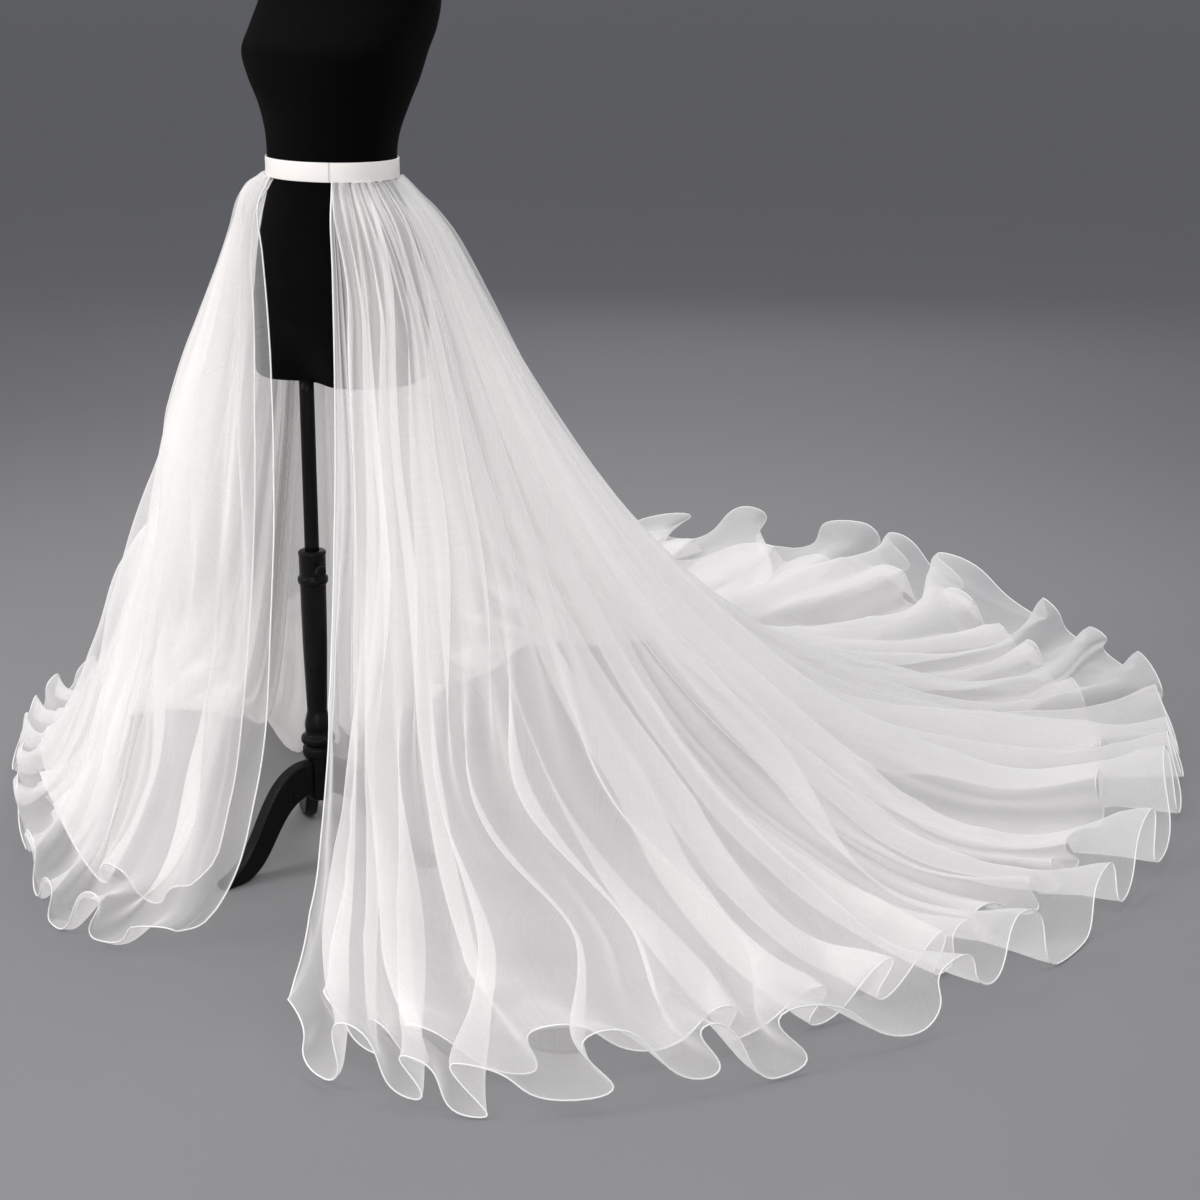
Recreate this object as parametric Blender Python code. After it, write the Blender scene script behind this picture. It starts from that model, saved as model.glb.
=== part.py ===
"""Floor-length overskirt of two sheer layers with a train, on a dress form and its stand.

Metres, +Z up. The wearer's front faces -Y and the train runs to +Y. Bearings are degrees
round the dress form's upright centre line, from the front, positive to the wearer's left (+X).
"""

import math

import bmesh
import bpy
import numpy as np

# Waistband: an upright ring of satin
BAND_TOP = 1.130
BAND_HEIGHT = 0.030
BAND_WALL = 0.0025
BAND_HALF_WIDTH = 0.1120
BAND_HALF_DEPTH = 0.0885
BAND_SIDES = 56
SEAM_GAP = 0.0003

# Cloth of both layers
CLOTH_WALL = 0.0020
FOLD_COUNT = 48
COLUMNS_PER_FOLD = 4
LAYER_STEP_WAIST = 0.0026
LAYER_STEP = 0.0060
LAYER_STEP_REACHED = 0.10
INNER_HEM_SHARE = 0.90
GORES = ("front_right", "side_right", "back_right", "back_left", "side_left", "front_left")

# How the cloth hangs: it swells out just below the band, then falls in a curve that is the
# more hollow the further the hem lies from the waist
SKIRT_OUTSET = 0.0035
WAIST_FLARE = 0.031
FLARE_SHARE = 0.028
HOLLOW_BASE = 0.38
HOLLOW_PER_METRE = 1.72
# On the far side it falls almost plumb instead, meets the floor this far out from the waist,
# and lies on it from there to the hem, with a soft turn between the two
PLUMB_REACH = 0.26
PLUMB_SOFTNESS = 0.08
BOW_COMES_ON = 3
BOW_GOES_OFF = 10

# Where the hem lies on the floor, going round from the wearer's right front edge by the back
# to the left front edge: the bearing and reach of the hem, the bearing on the band that the
# cloth there hangs from, how far the cloth bows sideways between the two, and how far its fall
# has gone from hollow, 0, to plumb, 1.
HEM_COLUMNS = ("bearing_deg", "reach_m", "waist_deg", "bow_m", "plumb_share")
HEM_STATIONS = (
    (9.4, 0.532, -33, 0.102, 0.0),
    (-18.0, 0.527, -51, 0.070, 0.0),
    (-45.0, 0.524, -69, 0.035, 0.0),
    (-71.0, 0.608, -87, 0.010, 0.1),
    (-96.0, 0.822, -106, 0.0, 0.5),
    (-122.5, 1.084, -126, 0.0, 0.9),
    (-143.5, 1.410, -144, 0.0, 1.0),
    (-159.5, 1.748, -158, 0.0, 0.8),
    (-175.0, 1.875, -172, 0.0, 0.4),
    (-195.5, 1.772, -192, 0.0, 0.1),
    (-216.0, 1.575, -212, 0.0, 0.0),
    (-237.0, 1.354, -233, 0.0, 0.0),
    (-257.5, 1.177, -255, 0.0, 0.0),
    (-278.0, 1.056, -278, 0.005, 0.0),
    (-303.0, 0.939, -302, 0.015, 0.0),
    (-320.5, 0.820, -319, 0.024, 0.0),
    (-329.7, 0.668, -327, 0.031, 0.0),
)

# How deep the folds are on the way down, as a share of the space between two folds.
# way_down runs from 0 at the band to 1 at the outer hem.
FOLD_COLUMNS = ("way_down", "depth_share")
FOLD_ROWS = (
    (0.00, 0.09),
    (0.03, 0.13),
    (0.10, 0.17),
    (0.20, 0.18),
    (0.32, 0.16),
    (0.52, 0.14),
    (0.74, 0.12),
    (0.90, 0.15),
    (1.00, 0.23),
)
# Pairs of how many times round the hem the folds' spacing, or their depth, swells and
# narrows, and by what share
SPACING_WAVES = ((5, -0.11), (11, 0.14), (17, -0.09))
DEPTH_WAVES = ((7, 0.18), (19, 0.16))
# At the hem a fold also leans outwards at its crest, by this share of the folds' spacing
HEM_SWING = 0.10
# Crests and troughs are cut flat at this share of the fold's depth
FLAT_AT = math.sqrt(0.5)

# Dress form, from the thigh cut up to the neck. set_back is how far a section's middle lies
# behind the waist's, and squareness is the power of its outline, 2 for an ellipse.
FORM_COLUMNS = ("height", "half_width", "half_depth", "set_back", "squareness")
FORM_SECTIONS = (
    (0.785, 0.1460, 0.1030, 0.006, 2.2),
    (0.830, 0.1480, 0.1060, 0.008, 2.2),
    (0.880, 0.1490, 0.1090, 0.010, 2.2),
    (0.930, 0.1460, 0.1080, 0.011, 2.1),
    (0.985, 0.1370, 0.1020, 0.009, 2.1),
    (1.040, 0.1240, 0.0950, 0.005, 2.0),
    (1.085, 0.1088, 0.0853, 0.000, 2.0),
    (1.135, 0.1088, 0.0853, 0.000, 2.0),
    (1.170, 0.1130, 0.0890, 0.003, 2.0),
    (1.210, 0.1240, 0.0980, 0.008, 2.1),
    (1.250, 0.1370, 0.1090, 0.010, 2.3),
    (1.290, 0.1470, 0.1160, 0.014, 2.4),
    (1.325, 0.1530, 0.1080, 0.034, 2.4),
    (1.365, 0.1570, 0.0930, 0.052, 2.3),
    (1.410, 0.1560, 0.0780, 0.060, 2.2),
    (1.445, 0.1300, 0.0660, 0.063, 2.0),
    (1.470, 0.0830, 0.0580, 0.064, 2.0),
    (1.492, 0.0570, 0.0530, 0.064, 2.0),
    (1.535, 0.0520, 0.0500, 0.064, 2.0),
)
FORM_SIDES = 28
CLEFT_TOP = 0.880
CLEFT_DEPTH = 0.28
CLEFT_HALF_ANGLE = 0.30

# Stand: everything turned stands on one axis, ahead of the dress form's
POLE_AHEAD = 0.077
POLE_RADIUS = 0.0115
SOCKET_TOP = 0.515
ROUND_SIDES = 20
# Turned outlines, from the foot up, as rows of (height, radius)
COLUMN_PROFILE = (
    (0.1700, 0.0235),
    (0.1760, 0.0250),
    (0.1830, 0.0250),
    (0.1890, 0.0215),
    (0.1950, 0.0265),
    (0.2040, 0.0265),
    (0.2110, 0.0200),
    (0.2240, 0.0205),
    (0.2480, 0.0160),
    (0.2620, 0.0165),
    (0.3600, 0.0195),
    (0.4580, 0.0208),
    (0.4640, 0.0238),
    (0.4720, 0.0238),
    (0.4770, 0.0212),
    (0.5120, 0.0220),
    (0.5150, 0.0205),
)
HUB_PROFILE = (
    (0.0960, 0.0150),
    (0.1020, 0.0190),
    (0.1697, 0.0190),
)
SCREW_HEIGHT = 0.490
SCREW_BEARING = 62
SCREW_RADIUS = 0.0085
SCREW_NECK_RADIUS = 0.0060
SCREW_LENGTH = 0.016
SCREW_SIDES = 12
LEG_BEARINGS = (-12, 108, 228)
LEG_WIDTH = 0.022
LEG_REACH = 0.200
LEG_ROOT_TOP = 0.166
LEG_ROOT_BOTTOM = 0.112
# What bends the leg's upper and lower line, as points (distance from the stand's axis, height)
LEG_KNEE = ((0.125, 0.172), (0.115, 0.030))
LEG_HOLLOW = ((0.095, 0.005), (0.095, 0.110))
FOOT_LENGTH = 0.034
FOOT_HEIGHT = 0.012
LEG_STEPS = 9
SHARP_ANGLE = math.radians(50)


def column(table, names, name):
    """One named column of a table, as an array."""
    return np.array([row[names.index(name)] for row in table], float)


def compass(bearing_deg):
    """Unit vector on the floor for a bearing."""
    angle = np.radians(bearing_deg)
    return np.stack([np.sin(angle), -np.cos(angle)], axis=-1)


def spline(values, per_span=40):
    """Catmull-Rom curve through the rows of values, with its ends carried straight on."""
    values = np.asarray(values, float)
    first, last = 2 * values[0] - values[1], 2 * values[-1] - values[-2]
    knots = np.vstack([first, values, last])
    t = np.linspace(0, 1, per_span, endpoint=False)[:, None]
    spans = []
    for a, b, c, d in zip(knots, knots[1:], knots[2:], knots[3:]):
        bend = 2 * a - 5 * b + 4 * c - d
        twist = 3 * (b - c) + d - a
        spans.append(b + 0.5 * t * (c - a + t * (bend + t * twist)))
    return np.vstack([*spans, values[-1:]])


def hem_curve():
    """Dense rows of (hem x, hem y, waist bearing, bow, plumb), and each one's share of the hem's length."""
    bearing, reach, *others = (column(HEM_STATIONS, HEM_COLUMNS, name) for name in HEM_COLUMNS)
    rows = spline(np.column_stack([compass(bearing) * reach[:, None], *others]))
    steps = np.linalg.norm(np.diff(rows[:, :2], axis=0), axis=1)
    along = np.concatenate([[0.0], np.cumsum(steps)])
    return rows, along / along[-1]


HEM_ROWS, HEM_ALONG = hem_curve()


def uneven_spacing(t):
    """Share of the hem's length at t, the share of the folds passed: some folds are wider."""
    shift = 0
    for count, share in SPACING_WAVES:
        turn = 2 * math.pi * count
        shift = shift + share * np.sin(turn * t) / turn
    return t + shift


def soft_floor(height):
    """A height that never goes below the floor, but turns softly to lie on it."""
    return PLUMB_SOFTNESS * np.logaddexp(0, height / PLUMB_SOFTNESS)


def hang(t, v):
    """The skirt without its folds: t goes round it, and v from 0 at the band to 1 at the hem."""
    u = uneven_spacing(t)
    hem_x, hem_y, waist, bow, plumb = (np.interp(u, HEM_ALONG, row) for row in HEM_ROWS.T)
    out = compass(waist)
    top_x = out[..., 0] * (BAND_HALF_WIDTH + SKIRT_OUTSET)
    top_y = out[..., 1] * (BAND_HALF_DEPTH + SKIRT_OUTSET)
    run_x, run_y = hem_x - top_x, hem_y - top_y
    run = np.hypot(run_x, run_y)
    flare = WAIST_FLARE * (1 - np.exp(-((v / FLARE_SHARE) ** 2))) * (1 - v)
    # the bow comes on early and goes off late, so that a front edge hangs straight between
    side = bow * (1 - (1 - v) ** BOW_COMES_ON - v**BOW_GOES_OFF) / run
    x = top_x + run_x * v + out[..., 0] * flare - run_y * side
    y = top_y + run_y * v + out[..., 1] * flare + run_x * side
    seam = BAND_TOP - BAND_HEIGHT - SEAM_GAP
    hollow_fall = (1 - v) ** (HOLLOW_BASE + HOLLOW_PER_METRE * run)
    plumb_fall = (1 - v) * soft_floor(1 - v * run / PLUMB_REACH) / soft_floor(1)
    z = seam * (hollow_fall + np.clip(plumb, 0, 1) * (plumb_fall - hollow_fall))
    return np.stack([x, y, z], axis=-1)


def hang_frame(t, v):
    """(point, outward normal, direction round the skirt, metres round it per unit of t)."""
    step = 1e-4
    before, after = np.maximum(t - step, 0), np.minimum(t + step, 1)
    above, below = np.maximum(v - step, 0), np.minimum(v + step, 1)
    round_it = (hang(after, v) - hang(before, v)) / (after - before)[..., None]
    normal = np.cross(round_it, hang(t, below) - hang(t, above))
    # at the band's seam the cloth hangs upright, so its upper edge is level
    normal[..., 2] *= v > 0
    normal /= np.linalg.norm(normal, axis=-1, keepdims=True)
    girth = np.linalg.norm(round_it, axis=-1)
    return hang(t, v), normal, round_it / girth[..., None], girth


def cloth(t, v, layer):
    """Middle of a layer's cloth with its folds, 0 for the outer layer and 1 inside; and its normal."""
    point, normal, along, girth = hang_frame(t, v)
    pitch = girth / FOLD_COUNT
    share = np.interp(v, *(column(FOLD_ROWS, FOLD_COLUMNS, name) for name in FOLD_COLUMNS))
    uneven = 1 + sum(part * np.sin(2 * math.pi * count * t + count) for count, part in DEPTH_WAVES)
    depth = share * pitch * uneven
    # crests and troughs are flat, and each gore's edges lie in a trough
    wave = np.clip(-np.cos(2 * math.pi * FOLD_COUNT * t), -FLAT_AT, FLAT_AT)
    at_hem = np.clip((v - INNER_HEM_SHARE) / (1 - INNER_HEM_SHARE), 0, 1)
    step = LAYER_STEP_WAIST + (LAYER_STEP - LAYER_STEP_WAIST) * np.minimum(v / LAYER_STEP_REACHED, 1)
    # where the cloth lies, its troughs rest on the floor or on the layer below
    lying = np.clip(normal[..., 2], 0, 1)
    down_slope = np.cross(normal, along)
    swing = HEM_SWING * pitch * at_hem
    lift = lying * (depth * FLAT_AT + CLOTH_WALL / 2) + (1 - at_hem) * LAYER_STEP * lying**2
    lift = lift + np.abs(down_slope[..., 2]) * swing * FLAT_AT
    place = point + normal * (depth * wave - step * layer)[..., None]
    place = place + down_slope * (swing * wave)[..., None]
    place[..., 2] += lift
    return place, normal


def solid_from(name, points, faces, material):
    """A named solid from points and faces, with its faces turned outwards."""
    mesh = bpy.data.meshes.new(name)
    mesh.from_pydata([tuple(point) for point in points], [], faces)
    shape = bmesh.new()
    shape.from_mesh(mesh)
    bmesh.ops.recalc_face_normals(shape, faces=shape.faces)
    shape.to_mesh(mesh)
    shape.free()
    mesh.shade_smooth()
    mesh.set_sharp_from_angle(angle=SHARP_ANGLE)
    mesh.materials.append(material)
    solid = bpy.data.objects.new(name, mesh)
    bpy.context.scene.collection.objects.link(solid)
    return solid


def wall_between(name, outside, inside, material):
    """A closed wall between two grids of points of the same size, rows down and columns round."""
    rows, columns = outside.shape[:2]
    points = np.concatenate([outside.reshape(-1, 3), inside.reshape(-1, 3)])

    def at(row, col, side):
        return (side * rows + row) * columns + col

    faces = []
    for r in range(rows - 1):
        for c in range(columns - 1):
            faces.append((at(r, c, 0), at(r + 1, c, 0), at(r + 1, c + 1, 0), at(r, c + 1, 0)))
            faces.append((at(r, c, 1), at(r, c + 1, 1), at(r + 1, c + 1, 1), at(r + 1, c, 1)))
        for c in (0, columns - 1):
            faces.append((at(r, c, 0), at(r + 1, c, 0), at(r + 1, c, 1), at(r, c, 1)))
    for c in range(columns - 1):
        for r in (0, rows - 1):
            faces.append((at(r, c, 0), at(r, c + 1, 0), at(r, c + 1, 1), at(r, c, 1)))
    return solid_from(name, points, faces, material)


def gore(name, first_fold, last_fold, layer, material):
    """One panel of a layer, from one fold to another, a seam gap clear of its neighbours."""
    levels = column(FOLD_ROWS, FOLD_COLUMNS, "way_down")
    if layer:
        levels = levels[levels <= INNER_HEM_SHARE]
    # columns stand either side of each crest and trough, so that both are flat
    count = (last_fold - first_fold) * COLUMNS_PER_FOLD
    between = first_fold + (np.arange(count) + 0.5) / COLUMNS_PER_FOLD
    t = np.concatenate([[first_fold], between, [last_fold]]) / FOLD_COUNT
    t, v = np.meshgrid(t, levels)
    girth = hang_frame(t, v)[3]
    if first_fold > 0:
        t[:, 0] += SEAM_GAP / 2 / girth[:, 0]
    if last_fold < FOLD_COUNT:
        t[:, -1] -= SEAM_GAP / 2 / girth[:, -1]
    middle, normal = cloth(t, v, layer)
    half = normal * CLOTH_WALL / 2
    return wall_between(name, middle + half, middle - half, material)


def skirt(material):
    """The outer and the inner layer, six gores each."""
    per_gore = FOLD_COUNT // len(GORES)
    for layer, word in enumerate(("outer", "inner")):
        for k, place in enumerate(GORES):
            gore(f"{word}_{place}", k * per_gore, (k + 1) * per_gore, layer, material)


def rings_joined(rings, closed):
    """Points and faces of a skin over rings of points, which is capped, or joined into a torus."""
    sides = len(rings[0])
    faces = []
    for level in range(len(rings) if closed else len(rings) - 1):
        above = (level + 1) % len(rings)
        for k in range(sides):
            n = (k + 1) % sides
            corners = ((level, k), (level, n), (above, n), (above, k))
            faces.append(tuple(row * sides + side for row, side in corners))
    if not closed:
        top = (len(rings) - 1) * sides
        faces.append(tuple(range(sides)))
        faces.append(tuple(range(top, top + sides)))
    return np.concatenate(rings), faces


def waistband(material):
    """The satin band, one closed ring round the form."""
    ring = compass(np.linspace(0, 360, BAND_SIDES, endpoint=False))
    low, high = BAND_TOP - BAND_HEIGHT, BAND_TOP
    rings = []
    for inset, height in ((BAND_WALL, low), (0, low), (0, high), (BAND_WALL, high)):
        size = (BAND_HALF_WIDTH - inset, BAND_HALF_DEPTH - inset)
        rings.append(np.column_stack([ring * size, np.full(BAND_SIDES, height)]))
    return solid_from("waistband", *rings_joined(rings, closed=True), material)


def form_ring(height, half_width, half_depth, set_back, squareness):
    """Points round the dress form at one height."""
    angle = np.linspace(0, 2 * math.pi, FORM_SIDES, endpoint=False)
    across, ahead = np.sin(angle), -np.cos(angle)
    power = 2 / squareness
    x = half_width * np.sign(across) * np.abs(across) ** power
    y = half_depth * np.sign(ahead) * np.abs(ahead) ** power
    # the cleft between the thighs, front and back, fades out upwards
    off_centre = np.abs((angle + math.pi / 2) % math.pi - math.pi / 2)
    fade = np.clip((CLEFT_TOP - height) / (CLEFT_TOP - FORM_SECTIONS[0][0]), 0, 1)
    y *= 1 - CLEFT_DEPTH * fade * np.exp(-((off_centre / CLEFT_HALF_ANGLE) ** 2))
    return np.column_stack([x, y + set_back, np.full(FORM_SIDES, height)])


def dress_form(material):
    """The padded torso, closed at the thighs and at the neck."""
    rings = [form_ring(**dict(zip(FORM_COLUMNS, section))) for section in FORM_SECTIONS]
    return solid_from("dress_form", *rings_joined(rings, closed=False), material)


def turned(name, profile, material):
    """A solid turned about the stand's axis from (height, radius) rows."""
    ring = compass(np.linspace(0, 360, ROUND_SIDES, endpoint=False))
    rings = []
    for height, radius in profile:
        rings.append(np.column_stack([ring * radius + (0, -POLE_AHEAD), np.full(ROUND_SIDES, height)]))
    return solid_from(name, *rings_joined(rings, closed=False), material)


def bezier(a, b, c, d):
    """LEG_STEPS points along a cubic curve."""
    t = np.linspace(0, 1, LEG_STEPS)[:, None]
    a, b, c, d = (np.array(point) for point in (a, b, c, d))
    return (1 - t) ** 3 * a + 3 * (1 - t) ** 2 * t * b + 3 * (1 - t) * t**2 * c + t**3 * d


def leg(name, bearing, material):
    """One curved leg, cut from a board, that butts against the hub."""
    root = HUB_PROFILE[-1][1] + SEAM_GAP
    heel = LEG_REACH - FOOT_LENGTH
    # outline as (distance from the stand's axis, height): over the top, then back below
    over = bezier((root, LEG_ROOT_TOP), *LEG_KNEE, (LEG_REACH, FOOT_HEIGHT))
    under = bezier((heel, 0.0), *LEG_HOLLOW, (root, LEG_ROOT_BOTTOM))
    outline = np.vstack([over, [(LEG_REACH, 0.0)], under])
    out, side = compass(bearing), compass(bearing + 90)
    rings = []
    for across in (-LEG_WIDTH / 2, LEG_WIDTH / 2):
        flat = outline[:, :1] * out + across * side + (0, -POLE_AHEAD)
        rings.append(np.column_stack([flat, outline[:, 1]]))
    return solid_from(name, *rings_joined(rings, closed=False), material)


def thumb_screw(material):
    """The screw that clamps the pole, standing out of the socket."""
    out, side = compass(SCREW_BEARING), compass(SCREW_BEARING + 90)
    socket_radius = COLUMN_PROFILE[-2][1]
    angle = np.linspace(0, 2 * math.pi, SCREW_SIDES, endpoint=False)[:, None]
    rings = []
    for reach, radius in ((0, SCREW_NECK_RADIUS), (SCREW_LENGTH, SCREW_RADIUS)):
        flat = out * (socket_radius + SEAM_GAP + reach) + side * radius * np.cos(angle) + (0, -POLE_AHEAD)
        rings.append(np.column_stack([flat, SCREW_HEIGHT + radius * np.sin(angle)]))
    return solid_from("thumb_screw", *rings_joined(rings, closed=False), material)


def stand(material):
    """Pole, turned column, hub, legs and thumb screw."""
    pole_top = FORM_SECTIONS[0][0] - SEAM_GAP
    turned("pole", ((SOCKET_TOP + SEAM_GAP, POLE_RADIUS), (pole_top, POLE_RADIUS)), material)
    turned("column", COLUMN_PROFILE, material)
    turned("hub", HUB_PROFILE, material)
    for number, bearing in enumerate(LEG_BEARINGS, start=1):
        leg(f"leg_{number}", bearing, material)
    thumb_screw(material)


def paint(name, colour, roughness, alpha=1.0, sheen=0.0):
    """A material of one colour."""
    material = bpy.data.materials.new(name)
    material.use_nodes = True
    shader = material.node_tree.nodes["Principled BSDF"]
    shader.inputs["Base Color"].default_value = (*colour, 1)
    shader.inputs["Roughness"].default_value = roughness
    shader.inputs["Alpha"].default_value = alpha
    shader.inputs["Sheen Weight"].default_value = sheen
    material.diffuse_color = (*colour, alpha)
    return material


def centre_on_origin():
    """Hangs every piece on one empty, moved so that the middle of the base is the origin."""
    solids = [solid for solid in bpy.data.objects if solid.type == "MESH"]
    points = np.array([vertex.co for solid in solids for vertex in solid.data.vertices])
    middle = (points.min(axis=0) + points.max(axis=0)) / 2
    root = bpy.data.objects.new("skirt_on_stand", None)
    bpy.context.scene.collection.objects.link(root)
    root.location = (-middle[0], -middle[1], 0)
    for solid in solids:
        solid.parent = root


def main():
    for old in list(bpy.data.objects):
        bpy.data.objects.remove(old)
    skirt(paint("organza", (0.93, 0.92, 0.91), 0.55, alpha=0.5, sheen=0.4))
    waistband(paint("satin", (0.90, 0.88, 0.86), 0.35, sheen=0.3))
    dress_form(paint("jersey", (0.012, 0.012, 0.014), 0.85, sheen=0.1))
    stand(paint("lacquered_wood", (0.008, 0.008, 0.008), 0.25))
    centre_on_origin()


main()
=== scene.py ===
"""Sheer two-layer overskirt with a train, dressed on its form and stand, in soft studio light."""

import math

import bmesh
import bpy
import numpy as np
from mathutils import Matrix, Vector


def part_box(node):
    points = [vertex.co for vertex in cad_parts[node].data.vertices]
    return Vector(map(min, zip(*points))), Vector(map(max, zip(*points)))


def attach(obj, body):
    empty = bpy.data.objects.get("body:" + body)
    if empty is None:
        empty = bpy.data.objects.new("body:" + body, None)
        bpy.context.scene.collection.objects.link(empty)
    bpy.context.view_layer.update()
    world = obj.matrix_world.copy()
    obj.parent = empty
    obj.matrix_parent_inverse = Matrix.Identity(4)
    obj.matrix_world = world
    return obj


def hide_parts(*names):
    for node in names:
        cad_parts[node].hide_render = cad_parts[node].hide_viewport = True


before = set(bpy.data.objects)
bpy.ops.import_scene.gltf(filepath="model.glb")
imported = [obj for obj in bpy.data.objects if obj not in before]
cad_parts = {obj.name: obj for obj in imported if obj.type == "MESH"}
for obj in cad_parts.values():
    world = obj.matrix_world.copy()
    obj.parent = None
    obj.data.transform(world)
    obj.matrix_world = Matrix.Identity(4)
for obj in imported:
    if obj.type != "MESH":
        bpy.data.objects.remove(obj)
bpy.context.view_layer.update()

# Everything below is set out from the dress form's upright centre line, in metres. Bearings are
# degrees round it from the wearer's front (-Y), positive to the wearer's left (+X).
BAND_LOW, BAND_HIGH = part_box("waistband")
AXIS = np.array([(BAND_LOW.x + BAND_HIGH.x) / 2, (BAND_LOW.y + BAND_HIGH.y) / 2, 0.0])
BAND_HALF_WIDTH = (BAND_HIGH.x - BAND_LOW.x) / 2
BAND_HALF_DEPTH = (BAND_HIGH.y - BAND_LOW.y) / 2
BAND_WALL = 0.0025

# How the cloth hangs, as in the solids. The gores go round it as (place, folds).
GORES = (
    ("front_right", 8),
    ("side_right", 7),
    ("back_right", 5),
    ("back_left", 5),
    ("side_left", 7),
    ("front_left", 8),
)
FOLD_COUNT = sum(folds for place, folds in GORES)
SEAM_GAP = 0.0003
SKIRT_OUTSET = 0.0035
WAIST_FLARE = 0.031
FLARE_SHARE = 0.028
HOLLOW_BASE = 0.38
HOLLOW_PER_METRE = 1.72
# On the far side it falls almost plumb, meets the floor this far out, and lies on it to the hem
PLUMB_REACH = 0.26
PLUMB_SOFTNESS = 0.08
BOW_COMES_ON = 3
BOW_GOES_OFF = 10
SPACING_WAVES = ((5, -0.11), (11, 0.14), (17, -0.09))
HEM_COLUMNS = ("bearing_deg", "reach_m", "waist_deg", "bow_m", "plumb_share")
HEM_STATIONS = (
    (9.4, 0.532, -33, 0.102, 0.0),
    (-18.0, 0.527, -51, 0.070, 0.0),
    (-45.0, 0.524, -69, 0.035, 0.0),
    (-71.0, 0.608, -87, 0.010, 0.1),
    (-96.0, 0.822, -106, 0.0, 0.5),
    (-122.5, 1.084, -126, 0.0, 0.9),
    (-143.5, 1.410, -144, 0.0, 1.0),
    (-159.5, 1.748, -158, 0.0, 0.8),
    (-175.0, 1.875, -172, 0.0, 0.4),
    (-195.5, 1.772, -192, 0.0, 0.1),
    (-216.0, 1.575, -212, 0.0, 0.0),
    (-237.0, 1.354, -233, 0.0, 0.0),
    (-257.5, 1.177, -255, 0.0, 0.0),
    (-278.0, 1.056, -278, 0.005, 0.0),
    (-303.0, 0.939, -302, 0.015, 0.0),
    (-320.5, 0.820, -319, 0.024, 0.0),
    (-329.7, 0.668, -327, 0.031, 0.0),
)

# Dress form, from the thigh cut up to the neck, as in the solid: (height, half width, half depth, set
# back, squareness). A section's middle is set back from the waist's, and its squareness is the power of
# its outline, 2 for an ellipse.
FORM_SECTIONS = (
    (0.785, 0.1460, 0.1030, 0.006, 2.2),
    (0.830, 0.1480, 0.1060, 0.008, 2.2),
    (0.880, 0.1490, 0.1090, 0.010, 2.2),
    (0.930, 0.1460, 0.1080, 0.011, 2.1),
    (0.985, 0.1370, 0.1020, 0.009, 2.1),
    (1.040, 0.1240, 0.0950, 0.005, 2.0),
    (1.085, 0.1088, 0.0853, 0.000, 2.0),
    (1.135, 0.1088, 0.0853, 0.000, 2.0),
    (1.170, 0.1130, 0.0890, 0.003, 2.0),
    (1.210, 0.1240, 0.0980, 0.008, 2.1),
    (1.250, 0.1370, 0.1090, 0.010, 2.3),
    (1.290, 0.1470, 0.1160, 0.014, 2.4),
    (1.325, 0.1530, 0.1080, 0.034, 2.4),
    (1.365, 0.1570, 0.0930, 0.052, 2.3),
    (1.410, 0.1560, 0.0780, 0.060, 2.2),
    (1.445, 0.1300, 0.0660, 0.063, 2.0),
    (1.470, 0.0830, 0.0580, 0.064, 2.0),
    (1.492, 0.0570, 0.0530, 0.064, 2.0),
    (1.535, 0.0520, 0.0500, 0.064, 2.0),
)
FORM_SIDES = 128
FORM_RIM = 0.006
CLEFT_TOP = 0.880
CLEFT_DEPTH = 0.28
CLEFT_HALF_ANGLE = 0.30

# Waistband: a strip that runs once round and laps over its own end at the closure
BAND_RISE = BAND_HIGH.z - BAND_LOW.z
CLOSURE_BEARING = 31
LAP_DEG = 16
LAP_STEP = 0.0008
BAND_STEPS = 220
BAND_EDGE_RADIUS = 0.0011
BAND_INNER_EDGE = 0.0002

# Stand, turned about one axis ahead of the dress form's
POLE_AXIS = np.array([0.0, -0.077, 0.0])
POLE_RADIUS = 0.0115
POLE_HEIGHTS = (0.512, 0.600, 0.700, FORM_SECTIONS[0][0] + 0.004)
ROUND_SIDES = 64
# Turned outlines from the foot up, as rows of (height, radius)
COLUMN_PROFILE = (
    (0.1700, 0.0225),
    (0.1730, 0.0247),
    (0.1795, 0.0254),
    (0.1860, 0.0247),
    (0.1885, 0.0215),
    (0.1915, 0.0222),
    (0.1950, 0.0262),
    (0.2000, 0.0272),
    (0.2045, 0.0262),
    (0.2080, 0.0212),
    (0.2130, 0.0198),
    (0.2240, 0.0206),
    (0.2360, 0.0186),
    (0.2480, 0.0160),
    (0.2620, 0.0165),
    (0.3100, 0.0180),
    (0.3600, 0.0195),
    (0.4150, 0.0203),
    (0.4580, 0.0208),
    (0.4610, 0.0216),
    (0.4635, 0.0236),
    (0.4680, 0.0243),
    (0.4720, 0.0236),
    (0.4745, 0.0216),
    (0.4800, 0.0212),
    (0.5060, 0.0214),
    (0.5105, 0.0222),
    (0.5135, 0.0219),
    (0.5150, 0.0205),
)
HUB_PROFILE = (
    (0.0960, 0.0120),
    (0.0975, 0.0160),
    (0.1020, 0.0187),
    (0.1100, 0.0190),
    (0.1650, 0.0190),
    (0.1697, 0.0183),
)
LEG_BEARINGS = (-12, 108, 228)
LEG_WIDTH = 0.022
LEG_REACH = 0.200
LEG_ROOT_TOP = 0.166
LEG_ROOT_BOTTOM = 0.112
LEG_KNEE = ((0.125, 0.172), (0.115, 0.030))
LEG_HOLLOW = ((0.095, 0.005), (0.095, 0.110))
FOOT_LENGTH = 0.034
FOOT_HEIGHT = 0.012
LEG_STEPS = 36
LEG_ROUNDING = 0.0035
LEG_SHARP_DEG = 40
LEG_ROUNDED_DEG = 50
SOCKET_RADIUS = 0.0212
SCREW_HEIGHT = 0.490
SCREW_BEARING = 62
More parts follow.
